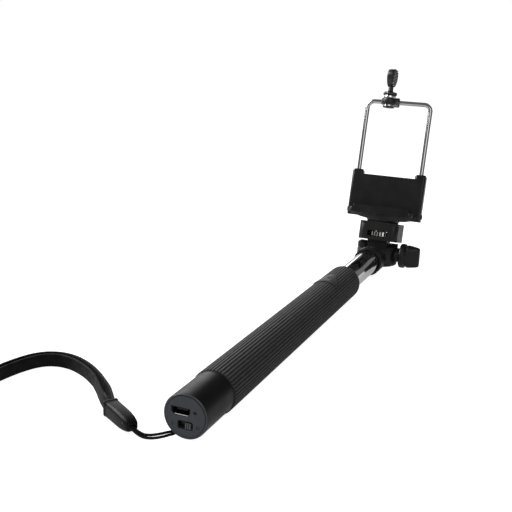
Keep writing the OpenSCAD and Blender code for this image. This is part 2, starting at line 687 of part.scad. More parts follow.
module jaw() color("#1c1c1c") head() translate([jaw_x, 0, 0]) difference() {
    union() {
        translate([0, foot_y, jaw_z]) cylinder(r = jaw_w / 2, h = jaw_t);
        translate([-jaw_w / 2, foot_y, jaw_z]) cube([jaw_w, leg_y - foot_y, jaw_t]);
        translate([0, leg_y, bar_z]) across_x(-jaw_w / 2) cylinder(r = jaw_barrel_r, h = jaw_w);
    }
    translate([0, leg_y, bar_z]) across_x(-jaw_w) cylinder(r = wire_r + fit_gap, h = 2 * jaw_w);
    translate([0, foot_y, jaw_z - 1]) cylinder(r = bush_r + seat_gap, h = jaw_t + 2);
}

module jaw_bush() color("#d8dadc") head() translate([jaw_x, foot_y, jaw_z]) difference() {
    union() {
        cylinder(r = bush_r, h = jaw_t + 0.5);
        translate([0, 0, jaw_t + seat_gap]) rotate_extrude() polygon([
            [0, 0], [ring_r - 0.5, 0], [ring_r, 0.5], [ring_r, ring_t - 0.5], [ring_r - 0.5, ring_t], [0, ring_t]
        ]);
    }
    translate([0, 0, -1]) cylinder(r = clamp_r + fit_gap, h = jaw_t + ring_t + 2);
}

module jaw_lock_ring() color("#1c1c1c") head()
    translate([jaw_x, foot_y, jaw_z + jaw_t + ring_t + 2 * seat_gap]) difference() {
        ring(ring_r - 0.3, clamp_r + 0.75, lock_t);
        for (k = [0 : 11]) rotate(30 * k) translate([ring_r, 0, -skin]) cylinder(r = 0.5, h = lock_t + 1);
    }

module press_foot() color("#b0b2b4") head() translate([jaw_x, foot_y, foot_z + foot_pad_t]) difference() {
    cylinder(r = 3.6, h = foot_t);
    translate([0, 0, 0.4]) cylinder(r = clamp_r + fit_gap, h = 2);
}

module foot_pad() color("#141414") head() translate([jaw_x, foot_y, foot_z])
    cylinder(r = 3.7, h = foot_pad_t - seat_gap);

module clamp_screw() color("#3a3a3c") head() translate([jaw_x, foot_y, foot_z + foot_pad_t + 0.45])
    cylinder(r = clamp_r, h = paddle_z + 4 - foot_z - foot_pad_t - 0.45);

module paddle_knob() color("#1d1d1d") head() translate([jaw_x, foot_y, paddle_z]) rotate(paddle_turn) difference() {
    union() {
        translate([0, 0, -paddle_neck + 0.4]) cylinder(r = clamp_r + 0.4, h = paddle_neck + 2);
        across_x(-paddle_t / 2) linear_extrude(paddle_t) paddle_outline();
    }
    translate([0, 0, -paddle_neck]) cylinder(r = clamp_r + seat_gap, h = paddle_neck + 4.1);
    for (side = [-1, 1], k = [-2 : 3])
        translate([side * (paddle_t / 2 + 0.15), 0, paddle_h / 2 + 1.7 * k]) rotate([side * 25, 0, 0])
            translate([-0.5, -paddle_w, -0.3]) cube([1, 2 * paddle_w, 0.6]);
}

// Egg-shaped outline in the plane across the paddle, narrow at the neck
module paddle_outline() polygon([for (a = [0 : 10 : 350])
    [-paddle_h / 2 * (1 - cos(a)), paddle_w / 2 * sin(a) * (1 - 0.16 * cos(a))]]);

// ---- Lanyard and wrist strap ----

function strand(side) = [for (i = [0 : len(strand_route) - 1])
    strand_route[i] + side * side_of(tangent(strand_route, i)) * (strand_d / 2 + 0.03)];

module lanyard_cord() color("#151515") stick()
    for (side = [-1, 1]) sweep(strand(side), round_section(strand_d / 2, 8));

// The webbing rises a little to go into the clasp
function strap_lift(i) = i < 2 ? clasp_floor + fit_gap : i == 2 ? clasp_floor / 2 : 0;
function flat_points() = [for (i = [0 : len(strap_route) - 1])
    [strap_route[i][0], strap_route[i][1], strap_w / 2 - grip_r + strap_lift(i)]];
function strap_run(side) = [for (i = [0 : len(strap_route) - 1])
    flat_points()[i] + side * side_of(tangent(flat_points(), i)) * strap_route[i][2]];
function strap_bow() = [for (a = [20 : 20 : 160])
    [loop_end[0] - loop_end[2] * cos(a), loop_end[1] - loop_end[2] * sin(a), strap_w / 2 - grip_r]];
function strap_loop() = concat(
    strap_run(-1), strap_bow(), [for (i = [len(strap_route) - 1 : -1 : 0]) strap_run(1)[i]]);

module wrist_strap() color("#131313") stick() sweep(strap_loop(), flat_section(strap_t, strap_w));

module strap_clasp() color("#1e1e1e") stick() {
    run = clasp_nose - clasp_tail;
    translate([clasp_tail[0], clasp_tail[1], -grip_r]) rotate(atan2(run[1], run[0])) difference() {
        hull() {
            for (y = [-1, 1]) translate([1, y * (clasp_w / 2 - 1), 0]) cylinder(r = 1, h = clasp_h, $fn = 24);
            for (y = [-1, 1]) translate([norm(run) - 1.6, y * (clasp_w / 2 - 1.8), 0.8])
                cylinder(r = 1.6, h = clasp_h - 2.2, $fn = 24);
        }
        translate([-1, -clasp_w / 2 + clasp_floor, clasp_floor])
            cube([3.4, clasp_w - 2 * clasp_floor, clasp_h - 2 * clasp_floor]);
        // Mouth for the two strands
        translate([norm(run) - 2.6, -1.9, 1.2]) cube([4, 3.8, 3.2]);
    }
}

end_barrel();
end_plate();
handle_core();
grip_sleeve();
battery();
circuit_board();
usb_socket();
switch_body();
switch_slider();
led_pipe();
flex_strip();
dome_switch();
shutter_button();
barrel_screws();
bulkhead();
tube_bushes();
tube_1();
tube_2();
tube_3();
tube_4();
tube_5();
tube_6();
slide_bush_2();
slide_bush_3();
slide_bush_4();
slide_bush_5();
slide_bush_6();
tube_plug();
swivel_screw();
fork();
pivot_bolt();
friction_washers();
tilt_washer();
tilt_knob();
knob_insert();
tilt_block();
block_cap();
cap_screws();
thumbwheel();
tripod_screw();
mount_pad();
holder_base();
holder_insert();
tray_pad();
tower_caps();
frame_springs();
leg_clips();
wire_frame();
jaw();
jaw_bush();
jaw_lock_ring();
press_foot();
foot_pad();
clamp_screw();
paddle_knob();
lanyard_cord();
strap_clasp();
wrist_strap();
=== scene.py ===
"""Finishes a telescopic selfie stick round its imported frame: strap, lanyard, clasp, finishes and studio."""

import math

import bmesh
import bpy
from bpy.props import FloatProperty, PointerProperty, StringProperty
from mathutils import Matrix, Vector


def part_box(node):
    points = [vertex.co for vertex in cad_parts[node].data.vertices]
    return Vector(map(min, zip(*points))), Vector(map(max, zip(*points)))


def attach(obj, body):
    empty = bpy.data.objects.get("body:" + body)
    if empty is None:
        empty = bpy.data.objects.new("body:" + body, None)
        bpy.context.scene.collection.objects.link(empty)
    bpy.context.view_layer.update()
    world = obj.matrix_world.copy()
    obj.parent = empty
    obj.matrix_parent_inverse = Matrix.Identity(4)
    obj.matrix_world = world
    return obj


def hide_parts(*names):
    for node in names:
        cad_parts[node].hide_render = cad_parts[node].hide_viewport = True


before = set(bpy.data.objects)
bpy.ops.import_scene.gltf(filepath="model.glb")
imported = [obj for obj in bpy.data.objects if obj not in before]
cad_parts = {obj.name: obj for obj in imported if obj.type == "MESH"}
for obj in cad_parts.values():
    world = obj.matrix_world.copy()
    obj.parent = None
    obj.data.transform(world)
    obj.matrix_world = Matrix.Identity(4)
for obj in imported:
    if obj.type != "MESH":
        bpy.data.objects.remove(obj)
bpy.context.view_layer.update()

bl_info = {
    "name": "Selfie Stick Finisher",
    "version": (1, 0, 0),
    "blender": (4, 5, 0),
    "location": "View3D > Sidebar > Selfie Stick",
    "description": "Lays the wrist strap, moulds the clasp and finishes every part of a selfie stick",
    "category": "Object",
}

MM = 0.001

# ---- Places, from the frame ----

BARREL_LOW, BARREL_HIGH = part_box("end_barrel")
# The end face's middle: the tubes run from here along +Y, and the routes below are counted from it
AXIS = Vector(((BARREL_LOW.x + BARREL_HIGH.x) / 2, BARREL_LOW.y, (BARREL_LOW.z + BARREL_HIGH.z) / 2))
FLOOR = -AXIS.z
SLEEVE_LOW, SLEEVE_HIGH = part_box("grip_sleeve")
GRIP_RADIUS = (SLEEVE_HIGH.x - SLEEVE_LOW.x) / 2
WASHER_LOW, WASHER_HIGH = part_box("tilt_washer")
# The head turns about a level line through this point, and leans back from it
PIVOT = Vector((AXIS.x, (WASHER_LOW.y + WASHER_HIGH.y) / 2, (WASHER_LOW.z + WASHER_HIGH.z) / 2))
# Degrees
LEAN = 13.2
HEAD = Matrix.Translation(PIVOT) @ Matrix.Rotation(math.radians(-LEAN), 4, "X")

# Lanyard: the line between its two strands, from the eye in the barrel to the clasp's nose
LANYARD_ROUTE = [
    (-0.0046, 0.0032, -0.0076), (-0.0051, 0.0030, -0.0086), (-0.0061, 0.0022, -0.0092),
    (-0.0074, 0.0004, -0.00928), (-0.0088, -0.0018, -0.00928), (-0.0104, -0.0036, -0.00928),
    (-0.0124, -0.0049, -0.00928), (-0.0148, -0.0055, -0.0091), (-0.0172, -0.0056, -0.0082),
    (-0.0196, -0.0053, -0.007),
]
# Strap: the line between its two runs and how far each run lies from it
STRAP_ROUTE = [
    (-0.035, 0.0046, 0.0009), (-0.041, 0.0108, 0.0017), (-0.046, 0.0163, 0.0019), (-0.051, 0.0214, 0.0016),
    (-0.056, 0.026, 0.0014), (-0.062, 0.0305, 0.0014), (-0.068, 0.034, 0.0014), (-0.075, 0.0368, 0.0014),
    (-0.082, 0.0374, 0.0014), (-0.088, 0.0352, 0.0014), (-0.092, 0.0305, 0.0014), (-0.0945, 0.024, 0.0014),
    (-0.096, 0.017, 0.0014), (-0.097, 0.009, 0.0014), (-0.098, 0.0, 0.0014), (-0.0985, -0.009, 0.002),
    (-0.0985, -0.017, 0.0036), (-0.098, -0.025, 0.006), (-0.0972, -0.032, 0.0074),
]
BOW_MIDDLE = (-0.0966, -0.036)
BOW_RADIUS = 0.0076
CLASP_TAIL = (-0.0365, 0.0056)
CLASP_NOSE = (-0.019, -0.0052)

# ---- Camera and paper ----

LENS = 59.1
SENSOR = 36
EYE = (0.12998, -0.40966, 0.15131)
VIEW_RIGHT = Vector((0.9198, 0.3901, 0.0430))
VIEW_UP = Vector((-0.1403, 0.2247, 0.9643))
VIEW_FORWARD = Vector((-0.3665, 0.8929, -0.2614))
# The paper lies this far under the stick, so that their faces don't coincide
PAPER_GAP = 0.0003

# ---- Small helpers ----


def linear(hex_colour):
    """A colour for a shader, from an sRGB hex value such as "#1a1a1a"."""
    parts = [int(hex_colour[i : i + 2], 16) / 255 for i in (1, 3, 5)]
    return [p / 12.92 if p <= 0.04045 else ((p + 0.055) / 1.055) ** 2.4 for p in parts] + [1.0]


def per_mm(size):
    """A texture's scale, for features of that many millimetres."""
    return 1.0 / (size * MM)


def add(tree, kind, inputs=None, **settings):
    """Adds a node with its settings, and fills its inputs with values or with other nodes' outputs."""
    made = tree.nodes.new(kind)
    for name, value in settings.items():
        setattr(made, name, value)
    for name, value in (inputs or {}).items():
        if isinstance(value, bpy.types.NodeSocket):
            tree.links.new(value, made.inputs[name])
        else:
            made.inputs[name].default_value = value
    return made


def blank(name, **sockets):
    """A new material, its node tree and its shader, with the shader's plain values set."""
    made = bpy.data.materials.new(name)
    made.use_nodes = True
    shader = made.node_tree.nodes["Principled BSDF"]
    for socket, value in sockets.items():
        shader.inputs[socket.replace("_", " ")].default_value = value
    return made, made.node_tree, shader


def on_stick(x, y, z):
    """A point counted from the middle of the handle's end face, as a point in the row frame."""
    return AXIS + Vector((x, y, z))


def new_piece(name, build, body, material, slot=None, nodes=()):
    """A piece from mesh code, with its finish, riding on its body. With a slot, it stands for CAD nodes."""
    mesh = bpy.data.meshes.new(name)
    build(mesh)
    piece = bpy.data.objects.new(name, mesh)
    bpy.context.scene.collection.objects.link(piece)
    mesh.materials.append(material)
    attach(piece, body)
    if slot:
        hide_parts(*nodes)
    return piece


def sideways(points, i):
    """The level direction square to a line of points at its point i."""
    t = points[min(i + 1, len(points) - 1)] - points[max(i - 1, 0)]
    return Vector((-t.y, t.x, 0)).normalized()


def smooth_line(points, step):
    """A smooth line through points, with its own points about step apart."""
    line = []
    for i in range(len(points) - 1):
        a, b = points[i], points[i + 1]
        before, after = points[max(i - 1, 0)], points[min(i + 2, len(points) - 1)]
        count = max(1, round((b - a).length / step))
        for k in range(count):
            t = k / count
            line.append(
                0.5
                * (
                    2 * a
                    + (b - before) * t
                    + (2 * before - 5 * a + 4 * b - after) * t * t
                    + (3 * a - before - 3 * b + after) * t**3
                )
            )
    return [*line, points[-1]]


def sweep(mesh, line, section):
    """A closed skin of (sideways, up) offsets, swept along a line. Its UVs are metres along and round."""
    made = bmesh.new()
    uv = made.loops.layers.uv.new("weave")
    rings, along, run = [], [], 0.0
    for i, point in enumerate(line):
        t = (line[min(i + 1, len(line) - 1)] - line[max(i - 1, 0)]).normalized()
        side = Vector((-t.y, t.x, 0)).normalized()
        up = t.cross(side)
        rings.append([made.verts.new(point + side * u + up * v) for u, v in section])
        run += (point - line[i - 1]).length if i else 0.0
        along.append(run)
    n = len(section)
    around = [0.0]
    for j in range(n):
        a, b = section[j], section[(j + 1) % n]
        around.append(around[-1] + math.dist(a, b))
    for i in range(len(rings) - 1):
        for j in range(n):
            k = (j + 1) % n
            face = made.faces.new([rings[i][j], rings[i][k], rings[i + 1][k], rings[i + 1][j]])
            face.smooth = True
            spots = [(i, j), (i, j + 1), (i + 1, j + 1), (i + 1, j)]
            for loop, (row, column) in zip(face.loops, spots):
                loop[uv].uv = (along[row], around[column])
    made.faces.new(rings[0][::-1])
    made.faces.new(rings[-1])
    bmesh.ops.recalc_face_normals(made, faces=made.faces)
    made.to_mesh(mesh)
    made.free()


def loft(mesh, rings, looped=False):
    """A closed skin over rings of points, with end caps, or looped from the last ring back to the first."""
    made = bmesh.new()
    rows = [[made.verts.new(p) for p in ring] for ring in rings]
    n = len(rows[0])
    for a, b in zip(rows, rows[1:] + rows[:1] if looped else rows[1:]):
        for j in range(n):
            made.faces.new([a[j], a[(j + 1) % n], b[(j + 1) % n], b[j]]).smooth = True
    if not looped:
        made.faces.new(rows[0][::-1])
        made.faces.new(rows[-1])
    bmesh.ops.recalc_face_normals(made, faces=made.faces)
    made.to_mesh(mesh)
    made.free()


def superellipse(width, height, power, count):
    """Points round a rounded box: power 2 is an ellipse, and a higher one is squarer."""
    points = []
    for k in range(count):
        a = 2 * math.pi * k / count
        c, s = math.cos(a), math.sin(a)
        points.append((
            width / 2 * math.copysign(abs(c) ** (2 / power), c),
            height / 2 * math.copysign(abs(s) ** (2 / power), s),
        ))
    return points


def ring_across(place, x, width, height, power, count):
    """A ring of points square to a local X axis, in millimetres along it."""
    return [place @ (Vector((x, u, v)) * MM) for u, v in superellipse(width, height, power, count)]


def box_shell(made, place, low, high, round_off):
    """Adds a box with cut edges to a mesh being built, in local millimetres."""
    middle = [(a + b) / 2 for a, b in zip(low, high)]
    size = [b - a for a, b in zip(low, high)]
    cube = bmesh.ops.create_cube(made, size=1.0)["verts"]
    for vert in cube:
        vert.co = Vector((middle[i] + vert.co[i] * size[i] for i in range(3)))
    edges = list({edge for vert in cube for edge in vert.link_edges})
    cut = bmesh.ops.bevel(made, geom=edges, offset=round_off, segments=2, affect="EDGES", profile=0.7)
    for vert in {vert for face in cut["faces"] for vert in face.verts} | {v for v in cube if v.is_valid}:
        vert.co = place @ (vert.co * MM)


# ---- Finishes ----


def moulded_plastic(name, colour, worn, roughness, grain, relief, specular=0.5):
    """Injection-moulded plastic: a drift between two near shades and a fine grain soften its gloss."""
    made, tree, shader = blank(name, Specular_IOR_Level=specular)
    place = add(tree, "ShaderNodeTexCoord").outputs["Object"]
    drift = add(tree, "ShaderNodeTexNoise", {"Vector": place, "Scale": per_mm(11), "Detail": 3.0})
    speck = add(tree, "ShaderNodeTexNoise", {"Vector": place, "Scale": per_mm(grain), "Detail": 2.0})
    tint = add(tree, "ShaderNodeMixRGB", {
        "Fac": drift.outputs["Fac"], "Color1": linear(colour), "Color2": linear(worn)})
    gloss = add(tree, "ShaderNodeMapRange", {
        "Value": drift.outputs["Fac"], "From Min": 0.3, "From Max": 0.7,
        "To Min": roughness - 0.05, "To Max": roughness + 0.06,
    })
    bump = add(tree, "ShaderNodeBump", {
        "Height": speck.outputs["Fac"], "Distance": relief * MM, "Strength": 0.6})
    tree.links.new(tint.outputs["Color"], shader.inputs["Base Color"])
    tree.links.new(gloss.outputs["Result"], shader.inputs["Roughness"])
    tree.links.new(bump.outputs["Normal"], shader.inputs["Normal"])
    return made


def elastomer(name, colour, dusty, roughness, grain, relief):
    """Moulded rubber: nearly matte, with fine dust that catches light and a soft sheen at grazing angles."""
    made, tree, shader = blank(
        name, Roughness=roughness, Specular_IOR_Level=0.3, Sheen_Weight=0.06, Sheen_Roughness=0.5)
    place = add(tree, "ShaderNodeTexCoord").outputs["Object"]
    dust = add(tree, "ShaderNodeTexNoise", {
        "Vector": place, "Scale": per_mm(4), "Detail": 6.0, "Roughness": 0.7})
    speck = add(tree, "ShaderNodeTexNoise", {"Vector": place, "Scale": per_mm(grain), "Detail": 3.0})
    tint = add(tree, "ShaderNodeMixRGB", {
        "Fac": dust.outputs["Fac"], "Color1": linear(colour), "Color2": linear(dusty)})
    bump = add(tree, "ShaderNodeBump", {
        "Height": speck.outputs["Fac"], "Distance": relief * MM, "Strength": 0.7})
    tree.links.new(tint.outputs["Color"], shader.inputs["Base Color"])
    tree.links.new(bump.outputs["Normal"], shader.inputs["Normal"])
    return made


def ribbed_rubber(name, groove, top, roughness):
    """Ribbed grip rubber: the grooves are painted darker as painted shade, and the rib tops paler as a
    painted highlight mixed with dust.
    """
    made, tree, shader = blank(
        name, Roughness=roughness, Specular_IOR_Level=0.25, Sheen_Weight=0.05, Sheen_Roughness=0.5)
    place = add(tree, "ShaderNodeTexCoord").outputs["Object"]
    level = add(tree, "ShaderNodeVectorMath", {0: place, 1: [AXIS.x, 0, AXIS.z]}, operation="SUBTRACT")
    flat = add(tree, "ShaderNodeVectorMath", {0: level.outputs["Vector"], 1: [1, 0, 1]}, operation="MULTIPLY")
    radius = add(tree, "ShaderNodeVectorMath", {0: flat.outputs["Vector"]}, operation="LENGTH")
    height = add(tree, "ShaderNodeMapRange", {
        "Value": radius.outputs["Value"],
        "From Min": GRIP_RADIUS - 0.4 * MM, "From Max": GRIP_RADIUS - 0.05 * MM,
    })
    dust = add(tree, "ShaderNodeTexNoise", {
        "Vector": place, "Scale": per_mm(3), "Detail": 6.0, "Roughness": 0.7})
    # Painted light: paler towards the rib tops, darker down in the grooves as painted shade, broken up by
    # dust
    painted_highlight = add(tree, "ShaderNodeMath", {
        0: height.outputs["Result"], 1: dust.outputs["Fac"]}, operation="MULTIPLY_ADD")
    painted_highlight.inputs[2].default_value = -0.05
    tint = add(tree, "ShaderNodeMixRGB", {
        "Fac": painted_highlight.outputs["Value"], "Color1": linear(groove), "Color2": linear(top)})
    speck = add(tree, "ShaderNodeTexNoise", {"Vector": place, "Scale": per_mm(0.5), "Detail": 3.0})
    bump = add(tree, "ShaderNodeBump", {
        "Height": speck.outputs["Fac"], "Distance": 0.03 * MM, "Strength": 0.7})
    tree.links.new(tint.outputs["Color"], shader.inputs["Base Color"])
    tree.links.new(bump.outputs["Normal"], shader.inputs["Normal"])
    return made


def two_shot_plastic(name, colour, front, roughness, front_y):
    """Satin moulded barrel: its front rim is flush with the grey end face and shares its shade."""
    made, tree, shader = blank(name)
    place = add(tree, "ShaderNodeTexCoord").outputs["Object"]
    split = add(tree, "ShaderNodeSeparateXYZ", {"Vector": place})
    behind = add(tree, "ShaderNodeMapRange", {
        "Value": split.outputs["Y"], "From Min": front_y + 0.2 * MM, "From Max": front_y + 0.42 * MM})
    drift = add(tree, "ShaderNodeTexNoise", {"Vector": place, "Scale": per_mm(9), "Detail": 3.0})
    tint = add(tree, "ShaderNodeMixRGB", {
        "Fac": behind.outputs["Result"], "Color1": linear(front), "Color2": linear(colour)})
    gloss = add(tree, "ShaderNodeMapRange", {
        "Value": drift.outputs["Fac"], "From Min": 0.3, "From Max": 0.7,
        "To Min": roughness - 0.04, "To Max": roughness + 0.05})
    sheen = add(tree, "ShaderNodeMapRange", {
        "Value": behind.outputs["Result"], "To Min": 0.3, "To Max": 0.13})
    tree.links.new(tint.outputs["Color"], shader.inputs["Base Color"])
    tree.links.new(gloss.outputs["Result"], shader.inputs["Roughness"])
    tree.links.new(sheen.outputs["Result"], shader.inputs["Specular IOR Level"])
    return made


def sunk_plastic(name, colour, painted_recess_shade, roughness, face_y):
    """Moulded end face: marks and slots below the face are painted darker, as painted shade."""
    made, tree, shader = blank(name, Specular_IOR_Level=0.3)
    place = add(tree, "ShaderNodeTexCoord").outputs["Object"]
    split = add(tree, "ShaderNodeSeparateXYZ", {"Vector": place})
    depth = add(tree, "ShaderNodeMapRange", {
        "Value": split.outputs["Y"], "From Min": face_y + 0.03 * MM, "From Max": face_y + 0.08 * MM})
    drift = add(tree, "ShaderNodeTexNoise", {"Vector": place, "Scale": per_mm(3), "Detail": 4.0})
    speck = add(tree, "ShaderNodeTexNoise", {"Vector": place, "Scale": per_mm(0.45), "Detail": 2.0})
    # Painted shade: faces below the face plane take the darker colour
    tint = add(tree, "ShaderNodeMixRGB", {
        "Fac": depth.outputs["Result"], "Color1": linear(colour), "Color2": linear(painted_recess_shade)})
    gloss = add(tree, "ShaderNodeMapRange", {
        "Value": drift.outputs["Fac"], "From Min": 0.3, "From Max": 0.7,
        "To Min": roughness - 0.06, "To Max": roughness + 0.06})
    bump = add(tree, "ShaderNodeBump", {
        "Height": speck.outputs["Fac"], "Distance": 0.015 * MM, "Strength": 0.6})
    tree.links.new(tint.outputs["Color"], shader.inputs["Base Color"])
    tree.links.new(gloss.outputs["Result"], shader.inputs["Roughness"])
    tree.links.new(bump.outputs["Normal"], shader.inputs["Normal"])
    return made


def socket_shell(name, bright, painted_wall_shade, lip_z):
    """Drawn nickel shell: the low lip is painted bright as a painted highlight, and its other walls dark as
    painted shade.
    """
    made, tree, shader = blank(name, Metallic=0.6, Roughness=0.35)
    split = add(tree, "ShaderNodeSeparateXYZ", {"Vector": add(tree, "ShaderNodeTexCoord").outputs["Object"]})
    lip = add(tree, "ShaderNodeMapRange", {
        "Value": split.outputs["Z"], "From Min": lip_z + 0.03 * MM, "From Max": lip_z})
    haze = add(tree, "ShaderNodeTexNoise", {"Scale": per_mm(0.8), "Detail": 3.0})
    lip_highlight_patches = add(tree, "ShaderNodeMapRange", {"Value": haze.outputs["Fac"], "To Min": 0.75, "To Max": 1.0})
    # Painted highlight along the low lip, broken into patches by noise; painted shade on the other walls
    painted_highlight = add(tree, "ShaderNodeMath", {
        0: lip.outputs["Result"], 1: lip_highlight_patches.outputs["Result"]}, operation="MULTIPLY")
    tint = add(tree, "ShaderNodeMixRGB", {
        "Fac": painted_highlight.outputs["Value"], "Color1": linear(painted_wall_shade), "Color2": linear(bright)})
    tree.links.new(tint.outputs["Color"], shader.inputs["Base Color"])
    return made


def plated_metal(name, colour, shade, roughness, along, across):
    """Plated or turned metal. Polishing leaves hair lines, along by across millimetres in size."""
    made, tree, shader = blank(name, Metallic=1.0)
    place = add(tree, "ShaderNodeTexCoord").outputs["Object"]
    stretch = add(tree, "ShaderNodeMapping", {
        "Vector": place, "Scale": [per_mm(across), per_mm(along), per_mm(across)]})
    lines = add(tree, "ShaderNodeTexNoise", {
        "Vector": stretch.outputs["Vector"], "Scale": 1.0, "Detail": 4.0})
    haze = add(tree, "ShaderNodeTexNoise", {"Vector": place, "Scale": per_mm(6), "Detail": 3.0})
    tint = add(tree, "ShaderNodeMixRGB", {
        "Fac": haze.outputs["Fac"], "Color1": linear(colour), "Color2": linear(shade)})
    gloss = add(tree, "ShaderNodeMapRange", {
        "Value": lines.outputs["Fac"], "From Min": 0.3, "From Max": 0.7,
        "To Min": roughness * 0.6, "To Max": roughness * 1.5,
    })
    bump = add(tree, "ShaderNodeBump", {
        "Height": lines.outputs["Fac"], "Distance": 0.0004 * MM, "Strength": 0.3})
    tree.links.new(tint.outputs["Color"], shader.inputs["Base Color"])
    tree.links.new(gloss.outputs["Result"], shader.inputs["Roughness"])
    tree.links.new(bump.outputs["Normal"], shader.inputs["Normal"])
    return made


def woven(name, colour, lit, pitch, relief, roughness):
    """Woven or braided yarn: two sets of slanting yarns cross; their crowns are painted paler and the gaps
    darker, as painted light and shade.
    """
    made, tree, shader = blank(
        name, Roughness=roughness, Specular_IOR_Level=0.15, Sheen_Weight=0.01, Sheen_Roughness=0.4)
    place = add(tree, "ShaderNodeTexCoord").outputs["UV"]
    yarns = []
    for turn in (45, -45):
        set_out = add(tree, "ShaderNodeMapping", {"Vector": place, "Rotation": [0, 0, math.radians(turn)]})
        yarns.append(add(tree, "ShaderNodeTexWave", {
            "Vector": set_out.outputs["Vector"], "Scale": per_mm(pitch) / 20, "Distortion": 0.4,
            "Detail": 1.0, "Detail Scale": 2.0,
        }))
    crossing = add(tree, "ShaderNodeMath", {
        0: yarns[0].outputs["Fac"], 1: yarns[1].outputs["Fac"]}, operation="MAXIMUM")
    fluff = add(tree, "ShaderNodeTexNoise", {"Vector": place, "Scale": per_mm(0.3), "Detail": 3.0})
    height = add(tree, "ShaderNodeMath", {
        0: fluff.outputs["Fac"], 1: 0.3, 2: crossing.outputs["Value"]}, operation="MULTIPLY_ADD")
    # Painted light: yarn crowns take the lit colour, and the gaps between them the darker colour as painted
    # shade
    tint = add(tree, "ShaderNodeMixRGB", {
        "Fac": crossing.outputs["Value"], "Color1": linear(colour), "Color2": linear(lit)})
    bump = add(tree, "ShaderNodeBump", {
        "Height": height.outputs["Value"], "Distance": relief * MM, "Strength": 0.8})
    tree.links.new(tint.outputs["Color"], shader.inputs["Base Color"])
    tree.links.new(bump.outputs["Normal"], shader.inputs["Normal"])
    return made


def smoked_acrylic(name, colour):
    """Smoked acrylic light pipe: nearly black, a little see-through, with a fine haze."""
    made, tree, shader = blank(name, Transmission_Weight=0.1, IOR=1.49, Specular_IOR_Level=0.2)
    place = add(tree, "ShaderNodeTexCoord").outputs["Object"]
    haze = add(tree, "ShaderNodeTexNoise", {"Vector": place, "Scale": per_mm(0.6), "Detail": 2.0})
    frost = add(tree, "ShaderNodeMapRange", {"Value": haze.outputs["Fac"], "To Min": 0.25, "To Max": 0.5})
    tint = add(tree, "ShaderNodeMixRGB", {
        "Fac": haze.outputs["Fac"], "Color1": linear(colour), "Color2": linear("#101112")})
    tree.links.new(tint.outputs["Color"], shader.inputs["Base Color"])
    tree.links.new(frost.outputs["Result"], shader.inputs["Roughness"])
    return made


def finish(nodes, material, edge=0.0):
    """Gives CAD nodes a finish, and rounds their sharp edges by edge millimetres where it is above 0."""
    for name in nodes:
        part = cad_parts[name]
        for slot in part.material_slots:
            slot.material = material
        if edge:
            part.modifiers.new("join faces", "WELD").merge_threshold = 1e-6
            rounding = part.modifiers.new("rounded edges", "BEVEL")
            rounding.width = edge * MM
            rounding.segments = 2
            rounding.limit_method = "ANGLE"
            rounding.angle_limit = math.radians(40)
            rounding.harden_normals = True


# ---- Settings that a user may change ----


class StrapSettings(bpy.types.PropertyGroup):
    """Sizes and colours of the wrist strap and its lanyard"""

    webbing_width: FloatProperty(
        name="Webbing width", description="Width of the flat webbing", default=0.006, unit="LENGTH")
    webbing_thickness: FloatProperty(
        name="Webbing thickness", description="Thickness of the flat webbing", default=0.0012, unit="LENGTH")
    strand_diameter: FloatProperty(
        name="Strand diameter", description="Diameter of the thin lanyard cord",
        default=0.0011, unit="LENGTH")
    yarn_pitch: FloatProperty(
        name="Yarn pitch", description="Distance between the webbing's slanting yarns",
        default=0.0009, unit="LENGTH")


class FinishSettings(bpy.types.PropertyGroup):
    """Colours of the moulded parts, as sRGB hex values"""

    # The rib tops colour is a painted highlight and the grooves colour is painted shade, on one rubber
    grip_top: StringProperty(name="Rib tops", description="Colour of the rubbed rib tops", default="#575758")
    grip_groove: StringProperty(name="Grooves", description="Colour between the ribs", default="#2c2c2d")
    barrel: StringProperty(name="Barrel", description="Colour of the end barrel", default="#08080a")
    end_face: StringProperty(name="End face", description="Colour of the end plate", default="#46484d")
    head: StringProperty(name="Head", description="Colour of the tilting head", default="#0f0f10")
    chrome_roughness: FloatProperty(
        name="Chrome roughness", description="Roughness of the chromed tubes and wire",
        default=0.07, min=0.0, max=1.0)


class StudioSettings(bpy.types.PropertyGroup):
    """Light of the studio"""

    key_power: FloatProperty(
        name="Key light", description="Power of the large softbox", default=15.0, unit="POWER")
    fill_power: FloatProperty(
        name="Fill light", description="Power of the side softbox", default=3.0, unit="POWER")
    rim_power: FloatProperty(
        name="Rim light", description="Power of the rear softbox", default=2.5, unit="POWER")
    surround: FloatProperty(
        name="Surround", description="Strength of the even light all round", default=0.2, min=0.0, max=2.0)


# ---- Operators ----


